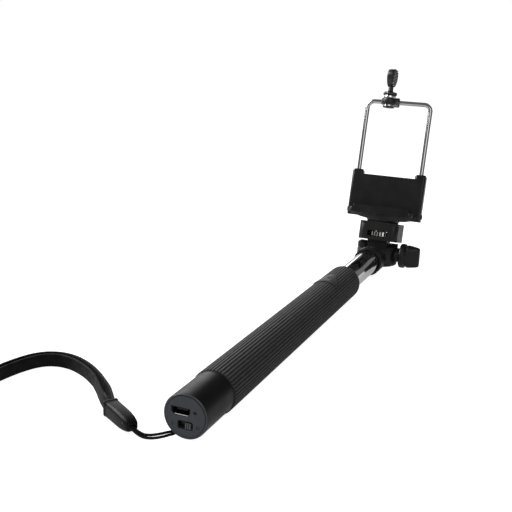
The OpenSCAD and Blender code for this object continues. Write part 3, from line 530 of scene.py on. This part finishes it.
class SELFIE_OT_set_stage(bpy.types.Operator):
    """Set up the camera, the pale floor and the soft lights"""

    bl_idname = "selfie.set_stage"
    bl_label = "Set the stage"

    def execute(self, context):
        scene, studio = context.scene, context.scene.selfie_studio
        self.place_camera(scene)
        self.lay_floor(scene)
        self.light_world(scene, studio)
        centre = Vector((0, 0, 0.04))
        for name, offset, size, power in (
            ("key softbox", (-0.8, -0.05, 0.6), 0.7, studio.key_power),
            ("fill softbox", (0.5, -0.9, 0.6), 0.8, studio.fill_power),
            ("rim softbox", (-0.6, 0.95, 0.36), 0.6, studio.rim_power),
        ):
            self.softbox(scene, name, centre + Vector(offset), centre, size, power)
        scene.view_settings.view_transform = "Standard"
        return {"FINISHED"}

    def place_camera(self, scene):
        """A short telephoto lens, a little above and to the right of the handle's end."""
        camera = bpy.data.objects.new("camera", bpy.data.cameras.new("camera"))
        camera.data.lens = LENS
        camera.data.sensor_width = SENSOR
        facing = Matrix((VIEW_RIGHT, VIEW_UP, -VIEW_FORWARD)).transposed().to_4x4()
        camera.matrix_world = Matrix.Translation(EYE) @ facing
        scene.collection.objects.link(camera)
        scene.camera = camera

    def lay_floor(self, scene):
        """A sheet of pale paper, brightened a little where it is seen directly, so that it reads as white."""
        made = bmesh.new()
        bmesh.ops.create_grid(made, x_segments=8, y_segments=8, size=6)
        mesh = bpy.data.meshes.new("floor")
        made.to_mesh(mesh)
        made.free()
        floor = bpy.data.objects.new("floor", mesh)
        floor.location.z = -PAPER_GAP
        scene.collection.objects.link(floor)
        paper, tree, shader = blank("white background paper", Roughness=0.9, Specular_IOR_Level=0.1)
        fibre = add(tree, "ShaderNodeTexNoise", {"Scale": per_mm(2), "Detail": 3.0})
        tint = add(tree, "ShaderNodeMixRGB", {
            "Fac": fibre.outputs["Fac"], "Color1": linear("#a8a8a8"), "Color2": linear("#acacac")})
        tree.links.new(tint.outputs["Color"], shader.inputs["Base Color"])
        seen = add(tree, "ShaderNodeLightPath")
        direct_glow, mirrored_glow = 0.94, 0.4
        mirrored = add(tree, "ShaderNodeMath", {
            0: seen.outputs["Is Glossy Ray"], 1: mirrored_glow}, operation="MULTIPLY")
        lift = add(tree, "ShaderNodeMath", {
            0: seen.outputs["Is Camera Ray"], 1: direct_glow, 2: mirrored.outputs["Value"],
        }, operation="MULTIPLY_ADD")
        shader.inputs["Emission Color"].default_value = (1, 1, 1, 1)
        tree.links.new(lift.outputs["Value"], shader.inputs["Emission Strength"])
        mesh.materials.append(paper)

    def light_world(self, scene, studio):
        """An even pale surround, white where it is seen directly."""
        world = bpy.data.worlds.new("studio")
        world.use_nodes = True
        tree = world.node_tree
        seen = add(tree, "ShaderNodeLightPath")
        strength = add(tree, "ShaderNodeMapRange", {
            "Value": seen.outputs["Is Camera Ray"], "To Min": studio.surround, "To Max": 1.0})
        tree.nodes["Background"].inputs["Color"].default_value = (1, 1, 1, 1)
        tree.links.new(strength.outputs["Result"], tree.nodes["Background"].inputs["Strength"])
        scene.world = world

    def softbox(self, scene, name, place, aim, size, power):
        """A square area light that faces a point."""
        light = bpy.data.lights.new(name, "AREA")
        light.shape, light.size, light.energy = "SQUARE", size, power
        made = bpy.data.objects.new(name, light)
        made.location = place
        made.rotation_euler = (place - aim).to_track_quat("Z", "Y").to_euler()
        scene.collection.objects.link(made)


class SELFIE_OT_mould_clasp(bpy.types.Operator):
    """Mould the strap's clasp: a tapered shell with a hem, a ridge and a pin"""

    bl_idname = "selfie.mould_clasp"
    bl_label = "Mould the clasp"

    # Distance from the tail, width, bottom and top, all in millimetres, and how square the section is
    STATIONS = [
        (0.0, 5.0, 0.7, 6.0, 8), (0.0, 6.0, 0.15, 6.6, 8), (0.3, 6.3, 0.0, 6.75, 8),
        (1.0, 6.3, 0.0, 6.75, 8), (1.3, 6.0, 0.15, 6.55, 7), (3.2, 6.0, 0.1, 6.55, 6),
        (6.0, 6.1, 0.05, 6.55, 5), (9.5, 6.1, 0.05, 6.5, 5), (13.0, 6.0, 0.1, 6.3, 5),
        (15.6, 5.8, 0.3, 6.0, 4.5), (17.6, 5.4, 0.6, 5.6, 4), (18.9, 4.8, 0.95, 5.1, 4),
        (19.6, 4.0, 1.4, 4.6, 3.5), (19.8, 3.0, 1.8, 4.0, 3),
    ]
    HOLLOW = [(19.4, 2.6, 2.0, 3.8, 3), (17.8, 2.4, 2.1, 3.7, 3)]

    def execute(self, context):
        tail, nose = Vector(CLASP_TAIL), Vector(CLASP_NOSE)
        turn = math.atan2(nose.y - tail.y, nose.x - tail.x)
        place = Matrix.Translation(on_stick(tail.x, tail.y, FLOOR)) @ Matrix.Rotation(turn, 4, "Z")
        material = moulded_plastic(
            "semi-gloss acetal clasp", "#050506", "#0a0a0b", 0.45, 0.7, 0.01, specular=0.13)

        def build(mesh):
            rings = []
            for x, width, low, high, power in self.STATIONS + self.HOLLOW:
                rings.append([
                    place @ (Vector((x, u, (low + high) / 2 + v)) * MM)
                    for u, v in superellipse(width, high - low, power, 40)
                ])
            # A shallow ridge runs along the top, between the hem and the nose
            for ring, (x, *_) in zip(rings, self.STATIONS):
                if 2 < x < 18:
                    for k in range(8, 13):
                        ring[k] = ring[k] + Vector((0, 0, 0.15 * MM))
            loft(mesh, rings)

        new_piece("clasp_shell", build, "handle", material, "clasp_black", ["strap_clasp"])
        self.set_pin(place)
        return {"FINISHED"}

    def set_pin(self, place):
        """The small pin that holds the lanyard's knot, near the nose."""
        steel = plated_metal("black-oxide pin", "#4a4a4c", "#2a2a2c", 0.3, 0.4, 0.4)

        def build(mesh):
            rings = []
            for depth, radius in ((2.2, 0.45), (2.85, 0.45), (3.0, 0.36), (3.02, 0.2)):
                rings.append([
                    place @ (Vector((16.6 + radius * math.cos(a), -depth, 4.0 + radius * math.sin(a))) * MM)
                    for a in (2 * math.pi * k / 16 for k in range(16))
                ])
            loft(mesh, rings)

        new_piece("clasp_pin", build, "handle", steel)


class SELFIE_OT_lay_lanyard(bpy.types.Operator):
    """Lay the thin looped cord from the eye in the barrel to the clasp"""

    bl_idname = "selfie.lay_lanyard"
    bl_label = "Lay the lanyard"

    def execute(self, context):
        diameter = context.scene.selfie_strap.strand_diameter
        gap = diameter / 2 + 0.03 * MM
        middle = [on_stick(*p) for p in LANYARD_ROUTE]
        # Between its ends one strand rides above the other, so that a line of light shows between them
        rise = [math.sin(math.pi * i / (len(middle) - 1)) for i in range(len(middle))]
        height, narrowing = 1.05 * MM, 0.8
        out = [
            p - sideways(middle, i) * gap * (1 - narrowing * rise[i]) + Vector((0, 0, height * rise[i]))
            for i, p in enumerate(middle)
        ]
        back = [p + sideways(middle, i) * gap for i, p in enumerate(middle)]
        # The loop closes inside the clasp
        ahead = (middle[-1] - middle[-2]).normalized()
        side = sideways(middle, len(middle) - 1)
        turn = [
            middle[-1] + ahead * (1.0 * MM + gap * math.sin(a)) - side * gap * math.cos(a)
            for a in (math.pi * k / 6 for k in range(7))
        ]
        line = smooth_line([*out, *turn, *back[::-1]], 0.35 * MM)
        section = [
            (diameter / 2 * math.cos(2 * math.pi * k / 14), diameter / 2 * math.sin(2 * math.pi * k / 14))
            for k in range(14)
        ]
        cord = new_piece(
            "lanyard", lambda mesh: sweep(mesh, line, section), "handle",
            woven("braided polyester cord", "#050505", "#111112", 0.5, 0.05, 0.42),
            "cord_black", ["lanyard_cord"])
        return {"FINISHED"}


class SELFIE_OT_lay_strap(bpy.types.Operator):
    """Lay the flat wrist strap on its edge, out of the clasp, round its loop and back"""

    bl_idname = "selfie.lay_strap"
    bl_label = "Lay the wrist strap"

    def execute(self, context):
        strap = context.scene.selfie_strap
        # The first points lie a little higher, where the webbing leaves the clasp
        lift = [0.35 * MM, 0.35 * MM, 0.2 * MM]
        middle = [
            on_stick(x, y, FLOOR + strap.webbing_width / 2 + (lift[i] if i < len(lift) else 0))
            for i, (x, y, gap) in enumerate(STRAP_ROUTE)
        ]
        gaps = [gap for x, y, gap in STRAP_ROUTE]
        runs = [
            [p + sideways(middle, i) * gaps[i] * side for i, p in enumerate(middle)] for side in (-1, 1)
        ]
        bow = [
            on_stick(
                BOW_MIDDLE[0] - BOW_RADIUS * math.cos(a), BOW_MIDDLE[1] - BOW_RADIUS * math.sin(a),
                FLOOR + strap.webbing_width / 2)
            for a in (math.radians(20 * k) for k in range(1, 9))
        ]
        line = smooth_line([*runs[0], *bow, *runs[1][::-1]], 1.2 * MM)
        half, thick = strap.webbing_width / 2, strap.webbing_thickness / 2
        # The selvedges are rounded, and the faces crown a little between them
        section = []
        for side in (1, -1):
            rows = [(0.55, 1.0), (0.9, 0.93), (1.0, 0.75), (1.0, 0.4), (1.0, 0.0), (1.0, -0.4), (1.0, -0.75),
                    (0.9, -0.93), (0.55, -1.0)]
            section += [(side * thick * u, side * half * v) for u, v in rows]
        webbing = new_piece(
            "webbing_loop", lambda mesh: sweep(mesh, line, section), "handle",
            woven("woven nylon webbing", "#030303", "#101011", strap.yarn_pitch / MM, 0.12, 0.7),
            "webbing_black", ["wrist_strap"])
        return {"FINISHED"}


class SELFIE_OT_finish_handle(bpy.types.Operator):
    """Finish the ribbed grip, the end barrel and the handle's inside"""

    bl_idname = "selfie.finish_handle"
    bl_label = "Finish the handle"

    def execute(self, context):
        colours = context.scene.selfie_finish
        # The grip's grooves get painted shade and its rib tops a painted highlight
        finish(["grip_sleeve"], ribbed_rubber(
            "ribbed grip elastomer", colours.grip_groove, colours.grip_top, 0.72))
        finish(["shutter_button"], elastomer(
            "moulded silicone button", "#2b2b2c", "#3a3a3b", 0.6, 0.4, 0.02), 0.15)
        finish(["end_barrel"], two_shot_plastic(
            "satin ABS barrel", colours.barrel, colours.end_face, 0.36, BARREL_LOW.y))
        finish(["handle_core", "bulkhead"], moulded_plastic(
            "black ABS core", "#1f1f20", "#2b2b2c", 0.45, 0.5, 0.01))
        finish(["battery"], moulded_plastic("heat-shrunk cell sleeve", "#29557f", "#35658f", 0.3, 1.5, 0.01))
        finish(["circuit_board"], moulded_plastic(
            "solder-masked glass epoxy", "#15512a", "#1d6636", 0.35, 0.6, 0.01))
        finish(["flex_strip"], moulded_plastic("amber polyimide film", "#a8651f", "#b8762c", 0.3, 0.8, 0.005))
        finish(["dome_switch"], plated_metal("nickel-plated sheet", "#d4d2cc", "#aaa8a2", 0.2, 0.6, 0.3))
        finish(["barrel_screws"], plated_metal("black-oxide screws", "#3c3c3e", "#242426", 0.35, 0.4, 0.4))
        finish(["tube_bushes"], moulded_plastic("ivory acetal bush", "#cfc8b6", "#c2bba8", 0.4, 0.5, 0.01))
        return {"FINISHED"}


class SELFIE_OT_finish_end(bpy.types.Operator):
    """Finish the end plate and its light pipe"""

    bl_idname = "selfie.finish_end"
    bl_label = "Finish the end plate"

    def execute(self, context):
        colours = context.scene.selfie_finish
        # The end plate's sunk marks and slots are painted near black as painted shade
        finish(["end_plate"], sunk_plastic(
            "matt ABS end plate", colours.end_face, "#151617", 0.55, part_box("end_plate")[0].y))
        finish(["led_pipe"], smoked_acrylic("smoked acrylic light pipe", "#050506"))
        lip_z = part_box("usb_socket")[0].z + 0.26 * MM
        # The shell is painted white along its low lip as a painted highlight and near black elsewhere as
        # painted shade
        finish(["usb_socket"], socket_shell("drawn nickel shell", "#ffffff", "#141415", lip_z))
        finish(["switch_body"], moulded_plastic("black switch housing", "#0a0a0a", "#111111", 0.5, 0.5, 0.01))
        self.mould_slider()
        return {"FINISHED"}

    def mould_slider(self):
        """The power switch's thumb piece: a raised cap with three finger ribs."""
        low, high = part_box("switch_slider")
        place = Matrix.Translation(((low.x + high.x) / 2, low.y, (low.z + high.z) / 2))

        def build(mesh):
            made = bmesh.new()
            box_shell(made, place, (-1.45, -0.05, -1.3), (1.45, 0.4, 1.3), 0.15)
            box_shell(made, place, (-1.5, 0.3, -1.0), (1.5, 1.8, 1.0), 0.1)
            for x in (-0.7, 0.15, 1.0):
                box_shell(made, place, (x - 0.2, -0.4, -1.25), (x + 0.2, 0.05, 1.25), 0.08)
            for face in made.faces:
                face.smooth = False
            made.to_mesh(mesh)
            made.free()

        # Painted light: the slider's rib fronts keep the pale grey as a painted highlight, and every face
        # behind them is painted near black as painted shade
        new_piece(
            "slider_cap", build, "power_slider",
            sunk_plastic("gloss ABS slider", "#6e7074", "#161617", 0.3, low.y - 0.4 * MM), "core_black",
            ["switch_slider"])


class SELFIE_OT_finish_tubes(bpy.types.Operator):
    """Finish the chromed tubes, their bushes and the swivel screw"""

    bl_idname = "selfie.finish_tubes"
    bl_label = "Finish the tubes"

    def execute(self, context):
        rough = context.scene.selfie_finish.chrome_roughness
        chrome = plated_metal("bright chrome tube", "#d0d0d2", "#c4c4c6", rough, 40, 0.6)
        finish([f"tube_{k}" for k in range(1, 7)], chrome)
        finish([f"slide_bush_{k}" for k in range(2, 7)], moulded_plastic(
            "ivory acetal slide", "#cfc8b6", "#c2bba8", 0.4, 0.5, 0.01))
        finish(["tube_plug", "knob_insert", "holder_insert"], plated_metal(
            "turned brass", "#c9a25a", "#b58c46", 0.25, 0.2, 0.2))
        finish(["swivel_screw", "pivot_bolt", "tilt_washer", "cap_screws"], plated_metal(
            "zinc-plated steel", "#b9babc", "#96989a", 0.3, 0.5, 0.5))
        return {"FINISHED"}


class SELFIE_OT_finish_head(bpy.types.Operator):
    """Finish the fork, the tilting block, its thumbwheel and the tilt knob"""

    bl_idname = "selfie.finish_head"
    bl_label = "Finish the head"

    def execute(self, context):
        colours = context.scene.selfie_finish
        nylon = moulded_plastic("glass-filled nylon", colours.head, "#1a1a1b", 0.42, 0.7, 0.02, specular=0.3)
        finish(["fork", "tilt_block"], nylon, 0.35)
        finish(["block_cap"], nylon, 0.2)
        self.turn_knob()
        finish(["friction_washers"], moulded_plastic(
            "acetal friction washer", "#cfc8b6", "#c2bba8", 0.4, 0.5, 0.01))
        self.turn_wheel()
        finish(["tripod_screw"], plated_metal("nickel-plated screw", "#c8c6c2", "#a8a6a2", 0.2, 0.3, 0.3))
        finish(["mount_pad"], elastomer("soft mounting pad", "#0c0c0c", "#151515", 0.75, 0.5, 0.03))
        return {"FINISHED"}

    def turn_knob(self):
        """The tilt knob: a rounded collar that flows into a thumb wing."""
        reach = (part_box("tilt_knob")[1].x - PIVOT.x) / MM
        start = (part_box("tilt_knob")[0].x - PIVOT.x) / MM
        # Stations along the knob's axis in millimetres: distance and radius for the collar, and distance,
        # thickness and height for the rest, with how square the section is on the wing and its tip.
        # The tip's distances are counted back from the knob's outer end
        collar = [
            (0.0, 6.9), (0.1, 7.4), (0.6, 7.85), (1.2, 7.95), (2.4, 7.95), (3.2, 7.85), (3.7, 7.4),
            (3.95, 6.5),
        ]
        groove = [(4.1, 9.6, 12.8), (4.6, 9.8, 14.6)]
        wing = [
            (5.2, 9.0, 15.0, 2.3), (6.2, 8.5, 14.8, 2.5), (7.6, 7.9, 14.4, 2.8), (9.2, 6.6, 13.8, 3.4),
            (10.8, 5.2, 13.2, 4.2),
        ]
        tip = [(1.0, 4.5, 12.6, 4.4), (0.35, 3.9, 12.2, 4.4), (0.08, 3.0, 11.4, 4.0), (0.0, 1.8, 10.0, 3.6)]

        def build(mesh):
            place = Matrix.Translation(PIVOT)
            count, groove_power = 48, 2.2
            rings = [ring_across(place, start + x, 2 * r, 2 * r, 2, count) for x, r in collar]
            rings += [ring_across(place, start + x, t, h, groove_power, count) for x, t, h in groove]
            rings += [ring_across(place, start + x, t, h, p, count) for x, t, h, p in wing]
            rings += [ring_across(place, reach - x, t, h, p, count) for x, t, h, p in tip]
            loft(mesh, rings)

        new_piece(
            "knob_wing", build, "tilt_knob",
            moulded_plastic(
                "satin nylon knob", "#0a0a0b", "#101011", 0.36, 0.7, 0.012, specular=0.3), "knob_black",
            ["tilt_knob"])

    def turn_wheel(self):
        """The thumbwheel: rib crowns painted bright as a painted highlight over grooves painted dark as
        painted shade.
        """
        low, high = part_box("thumbwheel")
        middle = HEAD.inverted() @ ((low + high) / 2)
        place = HEAD @ Matrix.Translation(middle) @ Matrix.Rotation(math.radians(-90), 4, "Y")
        outer, inner, thick, bore, ribs = 10.6, 10.6 - 0.6, 3.2, 3.15, 36
        # Painted light: the rib crowns are painted pale, and every other face near black as painted shade
        crown = plated_metal("nickel rib crowns with painted highlight", "#e2e0dc", "#c4c2be", 0.2, 0.4, 0.4)
        groove = plated_metal("nickel grooves in painted shade", "#242424", "#161616", 0.45, 0.4, 0.4)

        def build(mesh):
            made = bmesh.new()
            rows = []
            for x, shrink in (
                (-thick / 2, 0.3), (-thick / 2 + 0.25, 0), (thick / 2 - 0.25, 0), (thick / 2, 0.3)):
                row = []
                for k in range(ribs):
                    for turn, radius in ((-2.6, outer), (2.6, outer), (3.4, inner), (6.6, inner)):
                        a = math.radians(360 / ribs * k + turn)
                        r = radius - shrink
                        row.append(
                            made.verts.new(place @ (Vector((x, r * math.cos(a), r * math.sin(a))) * MM)))
                rows.append(row)
            n = len(rows[0])
            for a, b in zip(rows, rows[1:]):
                for j in range(n):
                    face = made.faces.new([a[j], a[(j + 1) % n], b[(j + 1) % n], b[j]])
                    face.material_index = 0 if j % 4 == 0 else 1
            bores = [
                [made.verts.new(place @ (Vector((
                    x, bore * math.cos(2 * math.pi * j / n), bore * math.sin(2 * math.pi * j / n))) * MM))
                    for j in range(n)]
                for x in (-thick / 2, thick / 2)
            ]
            for j in range(n):
                k = (j + 1) % n
                for quad in (
                    [rows[0][k], rows[0][j], bores[0][j], bores[0][k]],
                    [rows[-1][j], rows[-1][k], bores[1][k], bores[1][j]],
                    [bores[0][k], bores[0][j], bores[1][j], bores[1][k]],
                ):
                    made.faces.new(quad).material_index = 1
            bmesh.ops.recalc_face_normals(made, faces=made.faces)
            made.to_mesh(mesh)
            made.free()

        wheel = new_piece("knurled_wheel", build, "thumbwheel", crown, "nickel", ["thumbwheel"])
        wheel.data.materials.append(groove)


class SELFIE_OT_finish_holder(bpy.types.Operator):
    """Finish the tray, the wire frame, the jaw and the paddle screw"""

    bl_idname = "selfie.finish_holder"
    bl_label = "Finish the phone holder"

    def execute(self, context):
        rough = context.scene.selfie_finish.chrome_roughness
        tray = moulded_plastic("moulded ABS tray", "#0d0d0e", "#141415", 0.34, 0.7, 0.012, specular=0.35)
        finish(["holder_base"], tray, 0.25)
        finish(["tower_caps"], tray, 0.1)
        finish(["jaw"], moulded_plastic(
            "moulded nylon jaw", "#0b0b0c", "#121213", 0.38, 0.6, 0.012, specular=0.4), 0.3)
        self.mould_paddle()
        self.mould_lock_ring()
        finish(["wire_frame"], plated_metal("bright chrome wire", "#bcbcbf", "#adadb0", rough, 0.5, 0.5))
        finish(["jaw_bush"], plated_metal("bright chrome bush", "#efedec", "#d8d6d6", rough, 0.5, 0.5), 0.15)
        finish(["frame_springs", "leg_clips", "press_foot"], plated_metal(
            "zinc-plated spring steel", "#bdbec0", "#9a9c9e", 0.28, 0.4, 0.4))
        finish(["clamp_screw"], plated_metal("black-oxide screw", "#38383a", "#222224", 0.3, 0.4, 0.4))
        finish(["tray_pad", "foot_pad"], elastomer("soft rubber pad", "#0c0c0c", "#151515", 0.75, 0.5, 0.03))
        return {"FINISHED"}

    def mould_paddle(self):
        """The thumb paddle: an egg-shaped leaf on a slim neck, with slanting ribs on both faces."""
        axis, foot = self.clamp_axis()
        twist = math.radians(-9)
        place = axis @ Matrix.Translation((0, 0, foot * MM)) @ Matrix.Rotation(twist, 4, "Z")
        tall, wide, thick = 11.9, 8.8, 4.4
        # The neck's top meets the leaf's foot at local height 0
        rise = [(-2.85, 1.75), (-2.3, 1.7), (-0.6, 1.55), (0.8, 1.5), (1.6, 1.2)]

        def outline(angle, scale):
            c, s = math.cos(angle), math.sin(angle)
            up = tall / 2 - tall / 2 * c * scale
            return wide / 2 * s * (1 - 0.2 * c) * scale, up

        def build(mesh):
            made = bmesh.new()

            def skin(rings, finish_number=0):
                rows = [[made.verts.new(place @ (Vector(p) * MM)) for p in ring] for ring in rings]
                n = len(rows[0])
                for a, b in zip(rows, rows[1:]):
                    for j in range(n):
                        face = made.faces.new([a[j], a[(j + 1) % n], b[(j + 1) % n], b[j]])
                        face.smooth, face.material_index = True, finish_number
                for cap in (rows[0][::-1], rows[-1]):
                    made.faces.new(cap).material_index = finish_number

            layers = [
                (-thick / 2, 0.9), (-thick / 2 + 0.1, 0.95),
                (-thick / 2 + 0.4, 0.99), (-thick / 2 + 0.9, 1.0),
                (thick / 2 - 0.9, 1.0), (thick / 2 - 0.4, 0.99), (thick / 2 - 0.1, 0.95), (thick / 2, 0.9),
            ]
            skin([
                [(x, *outline(2 * math.pi * k / 40, scale)) for k in range(40)] for x, scale in layers
            ])
            skin([
                [(r * math.cos(a), r * math.sin(a), z) for a in (2 * math.pi * k / 20 for k in range(20))]
                for z, r in rise
            ])
            for side in (-1, 1):
                for k in range(5):
                    centre = 2.0 + 2.0 * k
                    # The ribs are shorter towards the leaf's foot and its tip
                    half = wide * 0.38 * math.sqrt(1 - ((centre - tall / 2) / (tall * 0.42)) ** 2)
                    slope = 0.55 * side
                    rings = []
                    for t in (-1, -0.94, 0, 0.94, 1):
                        y, z = t * half, centre + slope * t * half
                        size = 0.25 if abs(t) == 1 else 0.5
                        rings.append([
                            (side * thick / 2 + size * math.cos(a), y, z + size * 1.05 * math.sin(a))
                            for a in (2 * math.pi * j / 10 for j in range(10))
                        ])
                    skin(rings, 1)
            bmesh.ops.recalc_face_normals(made, faces=made.faces)
            made.to_mesh(mesh)
            made.free()

        leaf = new_piece(
            "paddle_leaf", build, "clamp_screw",
            moulded_plastic("moulded nylon paddle", "#0b0b0c", "#161617", 0.34, 0.6, 0.01), "knob_black",
            ["paddle_knob"])
        # The ribs on both faces are painted pale grey as a painted highlight on the black nylon
        leaf.data.materials.append(moulded_plastic("rubbed rib tops", "#8c8c90", "#9c9ca0", 0.35, 0.5, 0.01))

    def mould_lock_ring(self):
        """The lock ring under the paddle, with eight rounded lobes."""
        axis = self.clamp_axis()[0]
        low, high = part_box("jaw_lock_ring")
        middle = (axis.inverted() @ ((low + high) / 2)).z / MM

        def build(mesh):
            rings = []
            outside = ((-1.05, 0.86), (-0.85, 0.97), (-0.5, 1.0), (0.45, 1.0), (0.8, 0.96), (1.0, 0.84))
            bore, radius, swell, lobes = 2.3, 4.35, 0.22, 8
            for z, size in (*outside, (1.05, 0), (-1.05, 0)):
                ring = []
                for k in range(64):
                    a = 2 * math.pi * k / 64
                    r = size * (radius + swell * math.cos(lobes * a)) if size else bore
                    ring.append(axis @ (Vector((r * math.cos(a), r * math.sin(a), middle + z)) * MM))
                rings.append(ring)
            loft(mesh, rings, looped=True)

        new_piece(
            "lock_ring_lobes", build, "jaw",
            moulded_plastic("gloss nylon lock ring", "#0a0a0b", "#111112", 0.28, 0.6, 0.008), "knob_black",
            ["jaw_lock_ring"])

    def clamp_axis(self):
        """The clamp screw's line as a matrix, and the height of the leaf's foot along it in millimetres."""
        low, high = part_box("foot_pad")
        pad = HEAD.inverted() @ ((low + high) / 2)
        axis = HEAD @ Matrix.Translation((pad.x, pad.y, 0))
        low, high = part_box("paddle_knob")
        middle = HEAD.inverted() @ ((low + high) / 2)
        foot_below_middle = 4.75
        return axis, middle.z / MM - foot_below_middle


STEPS = (
    SELFIE_OT_set_stage,
    SELFIE_OT_lay_lanyard,
    SELFIE_OT_lay_strap,
    SELFIE_OT_mould_clasp,
    SELFIE_OT_finish_handle,
    SELFIE_OT_finish_end,
    SELFIE_OT_finish_tubes,
    SELFIE_OT_finish_head,
    SELFIE_OT_finish_holder,
)


class SELFIE_PT_panel(bpy.types.Panel):
    """Lists the steps and the settings"""

    bl_idname = "SELFIE_PT_panel"
    bl_label = "Selfie stick"
    bl_space_type = "VIEW_3D"
    bl_region_type = "UI"
    bl_category = "Selfie Stick"

    def draw(self, context):
        for step in STEPS:
            self.layout.operator(step.bl_idname)
        for group in (context.scene.selfie_strap, context.scene.selfie_finish, context.scene.selfie_studio):
            for name in group.bl_rna.properties.keys():
                if name not in ("rna_type", "name"):
                    self.layout.prop(group, name)


GROUPS = {"selfie_strap": StrapSettings, "selfie_finish": FinishSettings, "selfie_studio": StudioSettings}


def register():
    for made in (*GROUPS.values(), *STEPS, SELFIE_PT_panel):
        bpy.utils.register_class(made)
    for name, group in GROUPS.items():
        setattr(bpy.types.Scene, name, PointerProperty(type=group))


def unregister():
    for name in GROUPS:
        delattr(bpy.types.Scene, name)
    for made in (SELFIE_PT_panel, *STEPS[::-1], *GROUPS.values()):
        bpy.utils.unregister_class(made)


def main():
    """Runs every step in order."""
    register()
    for step in STEPS:
        group, name = step.bl_idname.split(".")
        getattr(getattr(bpy.ops, group), name)()


if __name__ == "__main__":
    main()
